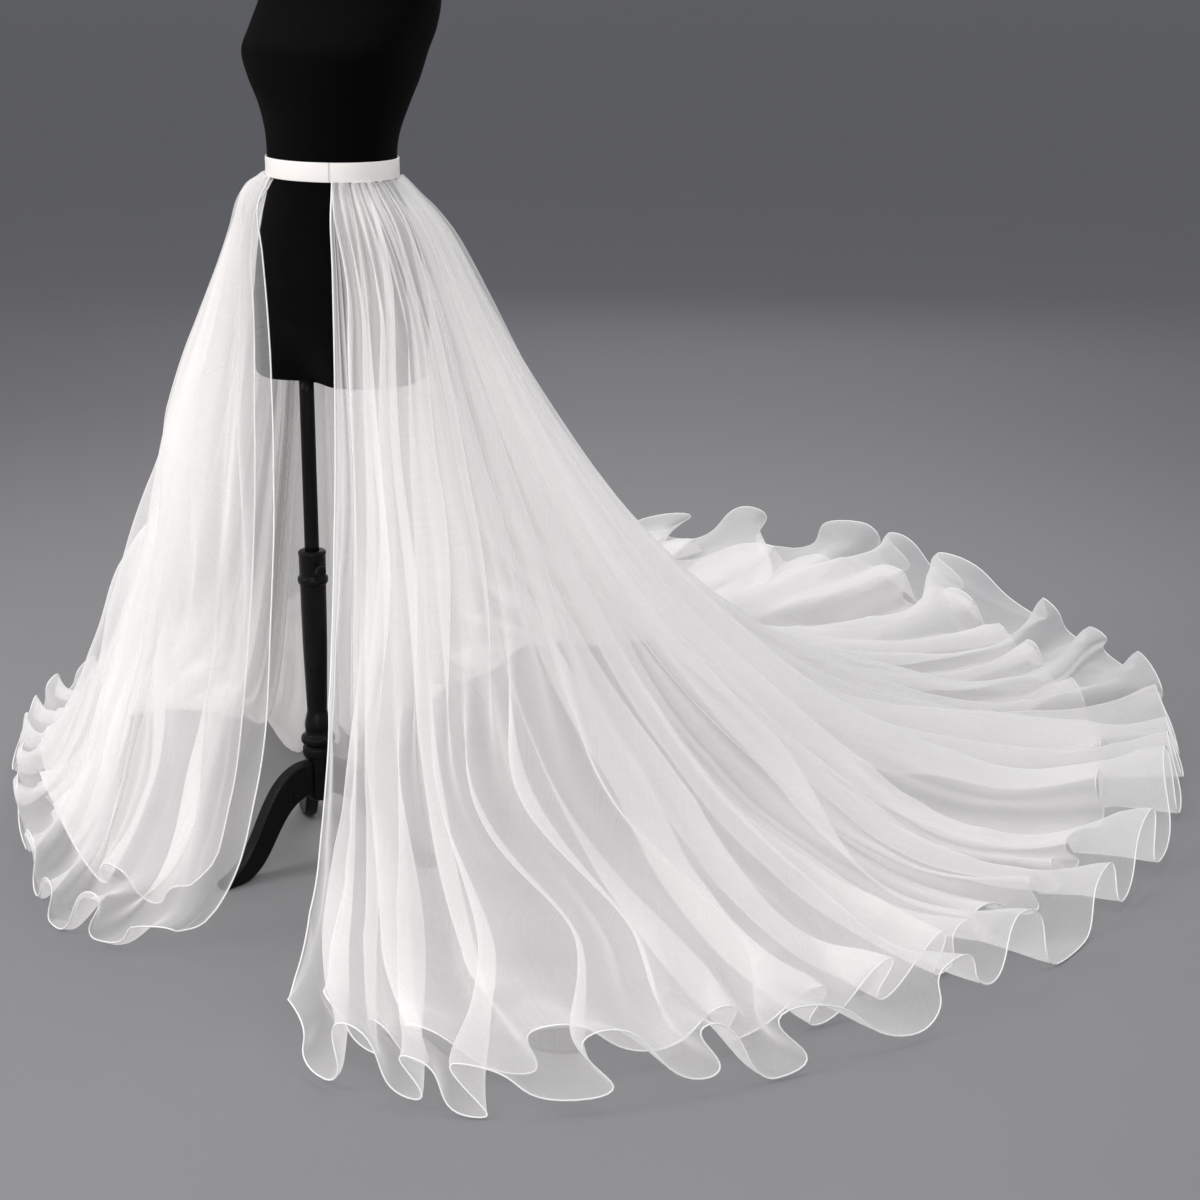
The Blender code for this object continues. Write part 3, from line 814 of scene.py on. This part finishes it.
def stand(lacquer, steel):
    """Pole, turned column, hub, legs and thumb screw, each under the name of the solid it stands for."""
    pole = [(height, POLE_RADIUS) for height in POLE_HEIGHTS]
    pieces = {
        "pole": turned("pole_tube", pole, steel),
        "column": turned("turned_column", COLUMN_PROFILE, lacquer),
        "hub": turned("leg_hub", HUB_PROFILE, lacquer),
        "thumb_screw": thumb_screw(lacquer),
    }
    for number, bearing in enumerate(LEG_BEARINGS, start=1):
        pieces[f"leg_{number}"] = leg(f"curved_leg_{number}", bearing, lacquer)
    return pieces


def feed(tree, made, sockets):
    """Gives a node's inputs their values, or the outputs that feed them."""
    for socket, value in sockets.items():
        if isinstance(value, bpy.types.NodeSocket):
            tree.links.new(value, made.inputs[socket])
        else:
            made.inputs[socket].default_value = value


def node(tree, kind, sockets=None, **settings):
    """A new node with its settings and its inputs."""
    made = tree.nodes.new(kind)
    for setting, value in settings.items():
        setattr(made, setting, value)
    feed(tree, made, sockets or {})
    return made


def maths(tree, operation, *values):
    """The result of one sum on values or on nodes' outputs."""
    return node(tree, "ShaderNodeMath", dict(enumerate(values)), operation=operation).outputs[0]


def product(tree, first, *others):
    """Values or nodes' outputs multiplied together."""
    for other in others:
        first = maths(tree, "MULTIPLY", first, other)
    return first


def parts(tree, vector):
    """The three parts of a vector."""
    return node(tree, "ShaderNodeSeparateXYZ", {0: vector}).outputs


def stretched(tree, place, sizes):
    """A place with each of its parts multiplied by a size."""
    return node(tree, "ShaderNodeVectorMath", {0: place, 1: sizes}, operation="MULTIPLY").outputs[0]


def noise(tree, place, scale, detail):
    """Smooth noise from 0 to 1."""
    sockets = {"Vector": place, "Scale": scale, "Detail": detail}
    return node(tree, "ShaderNodeTexNoise", sockets).outputs[0]


def ramp(tree, value, low, high, least=0.0, kind="LINEAR"):
    """A share that rises from least, where the value is low, to 1, where it is high."""
    sockets = {"Value": value, "From Min": low, "From Max": high, "To Min": least}
    return node(tree, "ShaderNodeMapRange", sockets, interpolation_type=kind).outputs[0]


def humps(tree, run):
    """Rounded humps from 0 to 1, one for each unit of a run."""
    return maths(tree, "ABSOLUTE", maths(tree, "SINE", product(tree, run, math.pi)))


def node_group(kind, build, inputs, made):
    """A group of nodes from {title: kind of socket} inputs, with the results of one kind that build makes."""
    tree = bpy.data.node_groups.new(build.__name__, kind)
    for title, sort in inputs.items():
        tree.interface.new_socket(title, in_out="INPUT", socket_type=f"NodeSocket{sort}")
    results = build(tree, node(tree, "NodeGroupInput").outputs)
    for title in results:
        tree.interface.new_socket(title, in_out="OUTPUT", socket_type=f"NodeSocket{made}")
    node(tree, "NodeGroupOutput", results)
    return tree


# Thick places in a weave's threads, for its warp and its weft: how many a metre across and up the cloth
SLUBS = ((650.0, 11.0, 1.0), (8.0, 380.0, 1.0))
WARP_SLUB_GAIN = 2.2
SLUB_RELIEF = 1.5
SLUB_TONE = 0.12
THREAD_COVER_GAIN = 0.37
THREAD_LEAST_COVER = 0.70
PATCH_DETAIL = 3.0
PATCH_GAIN = 3.0
KNIT_SLANT = 1.2
# Where wear and dust begin, and where they are full
WORN_RIDGES = (0.52, 0.60)
WORN_PATCHES = (0.42, 0.62)
DUSTY_SLOPES = (0.35, 1.0)
WEAR_NOISE = {"scale": 160.0, "detail": 4.0}
DUST_NOISE = {"scale": 60.0, "detail": 5.0}


def plain_weave(tree, given):
    """Threads that pass over and under each other, some thicker than others along their length."""
    flat = parts(tree, given["Flat Place"])
    runs = [product(tree, flat[axis], given["Threads Per Metre"]) for axis in (0, 1)]
    warp, weft = (humps(tree, run) for run in runs)
    crossing = maths(tree, "ADD", *(maths(tree, "FLOOR", run) for run in runs))
    over = maths(tree, "PINGPONG", crossing, 1.0)
    height = maths(tree, "MULTIPLY_ADD", over, maths(tree, "SUBTRACT", warp, weft), weft)
    warp_slub, weft_slub = (
        maths(tree, "SUBTRACT", noise(tree, stretched(tree, given["Flat Place"], sizes), 1.0, 1.0), 0.5)
        for sizes in SLUBS
    )
    slub = maths(tree, "MULTIPLY_ADD", warp_slub, WARP_SLUB_GAIN, weft_slub)
    slub = product(tree, slub, given["Unevenness"])
    on_top = maths(tree, "MAXIMUM", warp, weft)
    threads = maths(tree, "MULTIPLY_ADD", on_top, THREAD_COVER_GAIN, THREAD_LEAST_COVER)
    return {
        "Cover": maths(tree, "MULTIPLY_ADD", threads, slub, threads),
        "Height": maths(tree, "MULTIPLY_ADD", slub, SLUB_RELIEF, height),
        "Tone": maths(tree, "MULTIPLY_ADD", slub, SLUB_TONE, 1.0),
    }


def uneven_finish(tree, given):
    """Broad soft patches where a finish is a little lighter and duller, as from handling and pressing."""
    patch = noise(tree, given["Place"], given["Patches Per Metre"], PATCH_DETAIL)
    patch = product(tree, maths(tree, "SUBTRACT", patch, 0.5), PATCH_GAIN)
    return {
        "Tone": maths(tree, "MULTIPLY_ADD", patch, given["Tone Change"], 1.0),
        "Roughness": maths(tree, "MULTIPLY_ADD", patch, given["Roughness Change"], given["Roughness"]),
    }


def knit_rows(tree, given):
    """Columns of small V-shaped stitches, as on the face of jersey."""
    flat = parts(tree, given["Flat Place"])
    across, up = (product(tree, flat[axis], given["Columns Per Metre"]) for axis in (0, 1))
    from_middle = maths(tree, "ABSOLUTE", maths(tree, "SUBTRACT", maths(tree, "FRACT", across), 0.5))
    row = humps(tree, maths(tree, "MULTIPLY_ADD", from_middle, KNIT_SLANT, up))
    rib = maths(tree, "SINE", product(tree, from_middle, 2 * math.pi))
    height = product(tree, maths(tree, "MULTIPLY_ADD", row, 0.5, 0.5), rib)
    # The tone follows the height: painted shade between the loops, lighter on their tops
    return {"Height": height, "Tone": maths(tree, "MULTIPLY_ADD", height, 0.6, 0.7)}


def twisted_ply(tree, given):
    """Plies that wind round a thread or cord. Run is its own place: turns round it, then distance along."""
    run = parts(tree, given["Run"])
    height = humps(tree, maths(tree, "MULTIPLY_ADD", run[1], given["Twists"], product(tree, run[0], 2.0)))
    # The tone follows the height: painted shade in the grooves between the plies
    return {"Height": height, "Tone": maths(tree, "MULTIPLY_ADD", height, 0.14, 0.90)}


def worn_edges(tree, given):
    """Raised edges rubbed through to a paler, duller film, in broken patches."""
    ridges = ramp(tree, node(tree, "ShaderNodeNewGeometry").outputs["Pointiness"], *WORN_RIDGES)
    patches = ramp(tree, noise(tree, given["Place"], **WEAR_NOISE), *WORN_PATCHES)
    return {"Mask": product(tree, ridges, patches, given["Amount"])}


def turning_marks(tree, given):
    """Fine rings left round a turned piece, at uneven spacing up its length."""
    up = product(tree, parts(tree, given["Place"])[2], given["Rings Per Metre"])
    run = {"W": up, "Scale": 1.0, "Detail": 3.0}
    return {"Height": node(tree, "ShaderNodeTexNoise", run, noise_dimensions="1D").outputs[0]}


def settled_dust(tree, given):
    """A little pale dust on whatever faces up."""
    facing = node(tree, "ShaderNodeTexCoord").outputs["Normal"]
    level = ramp(tree, parts(tree, facing)[2], *DUSTY_SLOPES)
    return {"Mask": product(tree, level, noise(tree, given["Place"], **DUST_NOISE), given["Amount"])}


PATTERNS = {
    build.__name__: node_group(
        "ShaderNodeTree", build, {place: "Vector", **dict.fromkeys(numbers, "Float")}, "Float"
    )
    for build, place, *numbers in (
        (plain_weave, "Flat Place", "Threads Per Metre", "Unevenness"),
        (uneven_finish, "Place", "Patches Per Metre", "Tone Change", "Roughness", "Roughness Change"),
        (knit_rows, "Flat Place", "Columns Per Metre"),
        (twisted_ply, "Run", "Twists"),
        (worn_edges, "Place", "Amount"),
        (turning_marks, "Place", "Rings Per Metre"),
        (settled_dust, "Place", "Amount"),
    )
}


def pattern(tree, name, **sockets):
    """One of the shared patterns placed in a material, with its own values."""
    titled = {title.replace("_", " ").title(): value for title, value in sockets.items()}
    return node(tree, "ShaderNodeGroup", titled, node_tree=PATTERNS[name]).outputs


# Each finish's colour, and the soft patches in it
FINISH_COLUMNS = ("colour", "patches_per_metre", "tone_change", "roughness", "roughness_change")
FINISHES = {
    "organza": ((0.95, 0.935, 0.93), 7.0, 0.02, 0.58, 0.05),
    "satin": ((0.83, 0.80, 0.77), 60.0, 0.02, 0.40, 0.07),
    "jersey": ((0.0010, 0.0010, 0.0013), 14.0, 0.10, 0.88, 0.05),
    "black_lacquer": ((0.004, 0.004, 0.004), 45.0, 0.10, 0.30, 0.06),
    "blacked_steel": ((0.005, 0.005, 0.005), 260.0, 0.25, 0.34, 0.10),
    "hem_cord": ((0.86, 0.85, 0.84), 20.0, 0.02, 0.45, 0.05),
    "sewing_thread": ((0.88, 0.86, 0.84), 20.0, 0.02, 0.45, 0.05),
    "studio_floor": ((0.205, 0.203, 0.210), 3.0, 0.02, 0.72, 0.02),
}
RUBBED_COLOUR = (0.045, 0.038, 0.033)
DUST_COLOUR = (0.35, 0.34, 0.33)
# Painted shade on the floor: the darker colour it takes far from the form, and the distances from the form
# where that begins and is full
FLOOR_PAINTED_SHADE_COLOUR = (0.148, 0.147, 0.156)
FLOOR_PAINTED_SHADE_DISTANCES = (1.3, 3.8)
# Sheer cloth covers less of what lies behind it at the gathers, and more where it is seen at a slant
GATHERED_COVER = 0.85
GATHER_REACH = 0.75
LEAST_COSINE = 0.14


def blank_material(name, sockets):
    """A new material with one Principled shader: the material, its nodes and that shader."""
    material = bpy.data.materials.new(name)
    material.use_nodes = True
    shader = material.node_tree.nodes["Principled BSDF"]
    feed(material.node_tree, shader, sockets)
    return material, material.node_tree, shader


def finished(tree, shader, name, place, *tones):
    """Gives a shader its finish, made lighter or darker by the tones: (colour, roughness)."""
    colour, *patches = FINISHES[name]
    patches = pattern(tree, "uneven_finish", place=place, **dict(zip(FINISH_COLUMNS[1:], patches)))
    tinted = {0: colour, "Scale": product(tree, *tones, patches["Tone"])}
    tinted = node(tree, "ShaderNodeVectorMath", tinted, operation="SCALE").outputs[0]
    feed(tree, shader, {"Base Color": tinted, "Roughness": patches["Roughness"]})
    return tinted, patches["Roughness"]


def layered(tree, mask, under, over):
    """One colour showing over another where the mask says."""
    return node(tree, "ShaderNodeMix", {0: mask, 6: under, 7: (*over, 1)}, data_type="RGBA").outputs[2]


def mixed(tree, share, under, over):
    """One shader with a share of it taken by another."""
    return node(tree, "ShaderNodeMixShader", {0: share, 1: under, 2: over}).outputs[0]


def embossed(tree, shader, height, depth, strength):
    """Raises the shader's surface by a height pattern of that depth, in metres."""
    bump = {"Height": height, "Distance": depth, "Strength": strength}
    bump = node(tree, "ShaderNodeBump", bump).outputs[0]
    feed(tree, shader, {"Normal": bump})
    return bump


def flat_map(tree, name):
    """A piece's own UV map, in metres."""
    return node(tree, "ShaderNodeUVMap", uv_map=name).outputs[0]


def object_place(tree):
    """Where a point lies on the object, in metres."""
    return node(tree, "ShaderNodeTexCoord").outputs["Object"]


def organza(name, cover, through, shade):
    """Sheer cloth whose threads cover a share of it.

    through is the share of the threads' light that shines through them, and shade what the cloth lets by
    of a lamp's light."""
    material, tree, shader = blank_material(name, {"Sheen Weight": 0.15, "Specular IOR Level": 0.3})
    flat = flat_map(tree, "flat_cloth")
    weave = pattern(tree, "plain_weave", flat_place=flat, threads_per_metre=3200.0, unevenness=0.12)
    finished(tree, shader, "organza", flat, weave["Tone"])
    relief = embossed(tree, shader, weave["Height"], depth=0.00004, strength=0.15)

    below_band = product(tree, parts(tree, flat)[1], -1.0)
    fullness = ramp(tree, below_band, 0.0, GATHER_REACH, GATHERED_COVER, "SMOOTHSTEP")
    head_on = product(tree, fullness, cover, weave["Cover"])
    facing = node(tree, "ShaderNodeLayerWeight", {"Blend": 0.5}).outputs["Facing"]
    cosine = maths(tree, "MAXIMUM", maths(tree, "SUBTRACT", 1.0, facing), LEAST_COSINE)
    gap_seen = maths(tree, "POWER", maths(tree, "SUBTRACT", 1.0, head_on), maths(tree, "DIVIDE", 1.0, cosine))
    covered = maths(tree, "SUBTRACT", 1.0, gap_seen)

    glow = {"Color": (*FINISHES["organza"][0], 1), "Normal": relief}
    glow = node(tree, "ShaderNodeBsdfTranslucent", glow).outputs[0]
    threads = mixed(tree, through, shader.outputs[0], glow)
    cloth = mixed(tree, covered, node(tree, "ShaderNodeBsdfTransparent").outputs[0], threads)
    lamp_light = node(tree, "ShaderNodeBsdfTransparent", {"Color": (shade, shade, shade, 1)}).outputs[0]
    shadow_ray = node(tree, "ShaderNodeLightPath").outputs["Is Shadow Ray"]
    feed(tree, tree.nodes["Material Output"], {"Surface": mixed(tree, shadow_ray, cloth, lamp_light)})
    return material


def satin():
    """Close-woven band satin with its floats along the strip."""
    material, tree, shader = blank_material("satin", {"Sheen Weight": 0.2, "Anisotropic": 0.4})
    flat = flat_map(tree, "flat_cloth")
    along = stretched(tree, flat, (1.0, 0.25, 1.0))
    weave = pattern(tree, "plain_weave", flat_place=along, threads_per_metre=4200.0, unevenness=0.35)
    finished(tree, shader, "satin", flat, weave["Tone"])
    embossed(tree, shader, weave["Height"], depth=0.00005, strength=0.5)
    return material


def jersey():
    """Fine matt black jersey stretched over the padding."""
    material, tree, shader = blank_material("jersey", {"Sheen Weight": 0.01, "Specular IOR Level": 0.04})
    flat = flat_map(tree, "flat_cloth")
    knit = pattern(tree, "knit_rows", flat_place=flat, columns_per_metre=900.0)
    # The knit's tone is painted shade between its loops
    finished(tree, shader, "jersey", flat, knit["Tone"])
    embossed(tree, shader, knit["Height"], depth=0.00025, strength=0.8)
    return material


def black_lacquer():
    """Glossy black over turned wood, rubbed pale on the raised rings and dusty where it faces up."""
    coat = {"Coat Weight": 0.08, "Coat Roughness": 0.10, "Specular IOR Level": 0.08}
    material, tree, shader = blank_material("black_lacquer", coat)
    place = object_place(tree)
    wear = pattern(tree, "worn_edges", place=place, amount=0.35)["Mask"]
    dust = pattern(tree, "settled_dust", place=place, amount=0.015)["Mask"]
    rings = pattern(tree, "turning_marks", place=place, rings_per_metre=700.0)
    paint, rough = finished(tree, shader, "black_lacquer", place)
    dusty = layered(tree, dust, layered(tree, wear, paint, RUBBED_COLOUR), DUST_COLOUR)
    feed(tree, shader, {"Base Color": dusty, "Roughness": maths(tree, "MULTIPLY_ADD", wear, 0.25, rough)})
    embossed(tree, shader, rings["Height"], depth=0.00008, strength=0.3)
    return material


def blacked_steel():
    """The pole's thin black coating over drawn tube, with faint rub marks up its length."""
    material, tree, shader = blank_material("blacked_steel", {"Specular IOR Level": 0.07})
    place = object_place(tree)
    marks = pattern(tree, "turning_marks", place=place, rings_per_metre=160.0)
    finished(tree, shader, "blacked_steel", stretched(tree, place, (1.0, 1.0, 0.06)))
    embossed(tree, shader, marks["Height"], depth=0.00004, strength=0.4)
    return material


def thread(name, twists, depth):
    """Twisted thread, for stitches and for the cord in a rolled edge."""
    material, tree, shader = blank_material(name, {"Sheen Weight": 0.1})
    ply = pattern(tree, "twisted_ply", run=flat_map(tree, "thread_run"), twists=twists)
    # The ply's tone is painted shade in the grooves between the plies
    finished(tree, shader, name, object_place(tree), ply["Tone"])
    embossed(tree, shader, ply["Height"], depth, strength=0.7)
    return material


def studio_floor():
    """Plain painted floor, a little uneven, with painted shade that darkens it away from the form."""
    material, tree, shader = blank_material("studio_floor", {"Specular IOR Level": 0.3})
    place = object_place(tree)
    from_form = {0: place, 1: tuple(AXIS)}
    from_form = node(tree, "ShaderNodeVectorMath", from_form, operation="DISTANCE").outputs["Value"]
    # painted shade: the floor's colour darkens with distance from the form
    far = ramp(tree, from_form, *FLOOR_PAINTED_SHADE_DISTANCES, kind="SMOOTHSTEP")
    near, rough = finished(tree, shader, "studio_floor", place)
    feed(tree, shader, {"Base Color": layered(tree, far, near, FLOOR_PAINTED_SHADE_COLOUR)})
    return material


def with_run(tree, shape, run):
    """A shape whose face corners keep their place on the thread: turns round it, then distance along."""
    kept = {"Geometry": shape, "Name": "thread_run", "Value": run}
    return node(tree, "GeometryNodeStoreNamedAttribute", kept, data_type="FLOAT2", domain="CORNER").outputs[0]


def finished_shape(tree, shape, finish):
    """A shape with smooth faces, real ones, in their material."""
    smooth = node(tree, "GeometryNodeSetShadeSmooth", {"Geometry": shape}).outputs[0]
    real = node(tree, "GeometryNodeRealizeInstances", {"Geometry": smooth}).outputs[0]
    return node(tree, "GeometryNodeSetMaterial", {"Geometry": real, "Material": finish}).outputs[0]


CORD_INPUTS = {"Line": "Geometry", "Thickness": "Float", "Sides": "Int", "Finish": "Material"}


def corded_edge(tree, given):
    """A round cord carried along a line of edges."""
    line = node(tree, "GeometryNodeMeshToCurve", {0: given["Line"]}).outputs[0]
    parameter = node(tree, "GeometryNodeSplineParameter").outputs
    ring = {"Resolution": given["Sides"], "Radius": product(tree, given["Thickness"], 0.5)}
    ring = node(tree, "GeometryNodeCurvePrimitiveCircle", ring).outputs[0]
    kept = []
    for curve, reading in ((line, parameter["Length"]), (ring, parameter["Factor"])):
        capture = tree.nodes.new("GeometryNodeCaptureAttribute")
        capture.capture_items.new("FLOAT", "reading")
        feed(tree, capture, {0: curve, 1: reading})
        kept.append(capture.outputs)
    tube = {"Curve": kept[0][0], "Profile Curve": kept[1][0], "Fill Caps": True}
    tube = node(tree, "GeometryNodeCurveToMesh", tube).outputs[0]
    run = node(tree, "ShaderNodeCombineXYZ", {0: kept[1][1], 1: kept[0][1]}).outputs[0]
    return {"Cord": finished_shape(tree, with_run(tree, tube, run), given["Finish"])}


STITCH_SIZES = ("Pitch", "Stitch Length", "Thickness")
STITCH_INPUTS = {"Line": "Geometry", **dict.fromkeys(STITCH_SIZES, "Float"), "Finish": "Material"}


def stitch_row(tree, given):
    """A row of stitches laid along a line of edges."""
    line = node(tree, "GeometryNodeMeshToCurve", {0: given["Line"]}).outputs[0]
    points = {"Curve": line, "Length": given["Pitch"]}
    points = node(tree, "GeometryNodeCurveToPoints", points, mode="LENGTH").outputs
    along = {"Vector": points["Tangent"]}
    along = node(tree, "FunctionNodeAlignRotationToVector", along, axis="Z").outputs[0]
    bead = node(tree, "GeometryNodeMeshUVSphere", {"Segments": 6, "Rings": 5, "Radius": 0.5}).outputs
    size = {0: given["Thickness"], 1: given["Thickness"], 2: given["Stitch Length"]}
    placed = {
        "Points": points["Points"],
        "Instance": with_run(tree, bead["Mesh"], bead["UV Map"]),
        "Rotation": along,
        "Scale": node(tree, "ShaderNodeCombineXYZ", size).outputs[0],
    }
    placed = node(tree, "GeometryNodeInstanceOnPoints", placed).outputs[0]
    return {"Stitches": finished_shape(tree, placed, given["Finish"])}


def sewn(name, lines, tree, **sizes):
    """A plain mesh of what a tree of geometry nodes makes along lines of points."""
    points = np.vstack(lines)
    starts = np.cumsum([0, *(len(line) for line in lines)])
    edges = [(k, k + 1) for first, last in zip(starts, starts[1:]) for k in range(first, last - 1)]
    piece = new_piece(name, points, [], edges=edges)
    pattern_modifier = piece.modifiers.new("sewing", "NODES")
    pattern_modifier.node_group = tree
    sockets = {item.name: item.identifier for item in tree.interface.items_tree if item.in_out == "INPUT"}
    for title, value in sizes.items():
        pattern_modifier[sockets[title]] = value
    evaluated = piece.evaluated_get(bpy.context.evaluated_depsgraph_get())
    finished = bpy.data.meshes.new_from_object(evaluated)
    piece.modifiers.remove(pattern_modifier)
    guide, piece.data = piece.data, finished
    bpy.data.meshes.remove(guide)
    return piece


def rolled_edge(layer, tree, finish):
    """The corded edge of a layer: down one front edge, along the hem and up the other."""
    points = layer["points"]
    route = np.vstack([points[:, 0], points[-1, 1:-1], points[::-1, -1]])
    sizes = {"Thickness": EDGE_CORD, "Sides": EDGE_CORD_SIDES, "Finish": finish}
    return sewn(f"{layer['name']}_rolled_edge", [route], tree, **sizes)


def band_stitches(tree, finish):
    """Stitches along the band's lower edge, and down the end that laps over at the closure."""
    whole_way = 360 / (360 + LAP_DEG)
    runs = np.linspace(0.0, whole_way, BAND_STEPS)
    lower = band_face(runs, 0.0, np.full(len(runs), BAND_LOW.z + STITCH_LINE_UP)) + AXIS
    heights = np.linspace(BAND_LOW.z + STITCH_LINE_UP, BAND_HIGH.z - STITCH_LINE_UP / 2, 12)
    closure = band_face(np.full(len(heights), CLOSURE_LINE_DEG / (360 + LAP_DEG)), 0.0, heights) + AXIS
    return sewn("waistband_stitches", [lower, closure], tree, Finish=finish, **BAND_STITCH)


def gather_stitches(layer, tree, finish):
    """The row of running stitches that draws the outer layer up, just under the band."""
    points = layer["points"]
    drop = points[0, :, 2].mean() - points[..., 2].mean(axis=1)
    row = int(np.searchsorted(drop, GATHER_LINE_DOWN))
    raised = points[row] + grid_normals(points)[row] * GATHER_STITCH["Thickness"] * STITCH_RAISED
    return sewn("gathering_stitches", [raised], tree, Finish=finish, **GATHER_STITCH)


WORLD_COLOUR = (0.88, 0.90, 0.95)
WORLD_STRENGTH = 0.54
# (name, place, size, watts, colour)
LIGHTS = (
    ("key_softbox", (-2.4, -3.6, 3.0), 2.0, 149, (1.0, 0.985, 0.97)),
    ("front_fill", (2.2, -3.8, 1.8), 3.0, 68, (1.0, 0.99, 0.98)),
    ("top_softbox", (0.9, 0.9, 4.0), 2.4, 60, (1.0, 0.99, 0.98)),
    ("back_softbox", (-1.8, 3.4, 2.2), 2.4, 30, (1.0, 0.985, 0.97)),
)
LIGHTS_AIM = (0, 0, 0.5)
FLOOR_HALF_SIZE = 60.0

# The camera, from the photograph's viewing angle, set out from the dress form's axis
CAMERA_PLACE = (2.1984, -2.6263, 1.511)
CAMERA_TURN_DEG = 33
CAMERA_DIP_DEG = 14
CAMERA_LENS_MM = 66.0
CAMERA_SENSOR_MM = 36.0
CAMERA_SHIFT = -0.1254


def put_in_scene(name, data, place, look):
    """A lamp or camera at a place, turned to look along a direction."""
    placed = bpy.data.objects.new(name, data)
    bpy.context.scene.collection.objects.link(placed)
    placed.location = Vector(place)
    placed.rotation_mode = "QUATERNION"
    placed.rotation_quaternion = Vector(look).to_track_quat("-Z", "Y")
    return placed


def studio():
    """Floor, air, lamps and camera."""
    half = FLOOR_HALF_SIZE
    corners = [(-half, -half, 0), (half, -half, 0), (half, half, 0), (-half, half, 0)]
    new_piece("studio_floor", corners, [(0, 1, 2, 3)], studio_floor())
    world = bpy.data.worlds.new("studio_air")
    bpy.context.scene.world = world
    world.use_nodes = True
    air = {"Color": (*WORLD_COLOUR, 1), "Strength": WORLD_STRENGTH}
    feed(world.node_tree, world.node_tree.nodes["Background"], air)
    for name, place, size, watts, colour in LIGHTS:
        light = bpy.data.lights.new(name, "AREA")
        light.size = size
        light.energy = watts
        light.color = colour
        put_in_scene(name, light, place, np.subtract(LIGHTS_AIM, place))
    lens = bpy.data.cameras.new("camera")
    lens.lens = CAMERA_LENS_MM
    lens.sensor_width = CAMERA_SENSOR_MM
    lens.shift_y = CAMERA_SHIFT
    turn, dip = math.radians(CAMERA_TURN_DEG), math.radians(CAMERA_DIP_DEG)
    look = (-math.sin(turn) * math.cos(dip), math.cos(turn) * math.cos(dip), -math.sin(dip))
    bpy.context.scene.camera = put_in_scene("camera", lens, AXIS + CAMERA_PLACE, look)


def show(piece, slot, *nodes):
    """Puts a piece on the one body and hides the solids that it stands for. slot is not used."""
    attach(piece, "root")
    if nodes:
        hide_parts(*nodes)


def dress():
    """Every piece of the skirt, the dress form and the stand."""
    cord_tree = node_group("GeometryNodeTree", corded_edge, CORD_INPUTS, "Geometry")
    stitch_tree = node_group("GeometryNodeTree", stitch_row, STITCH_INPUTS, "Geometry")
    hem_cord = thread("hem_cord", twists=900.0, depth=0.0002)
    sewing_thread = thread("sewing_thread", twists=5.0, depth=0.00008)
    cloths = {kind: organza(f"{kind}_organza", *numbers) for kind, *numbers in ORGANZAS}

    band = waistband(satin())
    show(band, "satin", "waistband")
    stitches = band_stitches(stitch_tree, sewing_thread)
    show(stitches, "satin")

    below, under_names = None, {}
    for row in LAYERS:
        layer = lay_layer(**dict(zip(LAYER_COLUMNS, row)), below=below)
        below, kind = layer, layer["name"]
        edge = rolled_edge(layer, cord_tree, hem_cord)
        show(edge, "organza")
        sewing = [edge]
        if kind == "outer":
            sewing.append(gather_stitches(layer, stitch_tree, sewing_thread))
            show(sewing[-1], "organza")
        for (piece, flat, area), (place, folds) in zip(cut_gores(layer, cloths[kind]), GORES):
            show(piece, "organza", f"{kind}_{place}")
            under_names[place] = piece.name

    show(dress_form(jersey()), "jersey", "dress_form")
    for solid, piece in stand(black_lacquer(), blacked_steel()).items():
        show(piece, "lacquered_wood", solid)


dress()
studio()
scene = bpy.context.scene
scene.view_settings.view_transform = "Standard"
scene.cycles.transparent_max_bounces = 9
scene.cycles.max_bounces = 3
scene.cycles.diffuse_bounces = 2
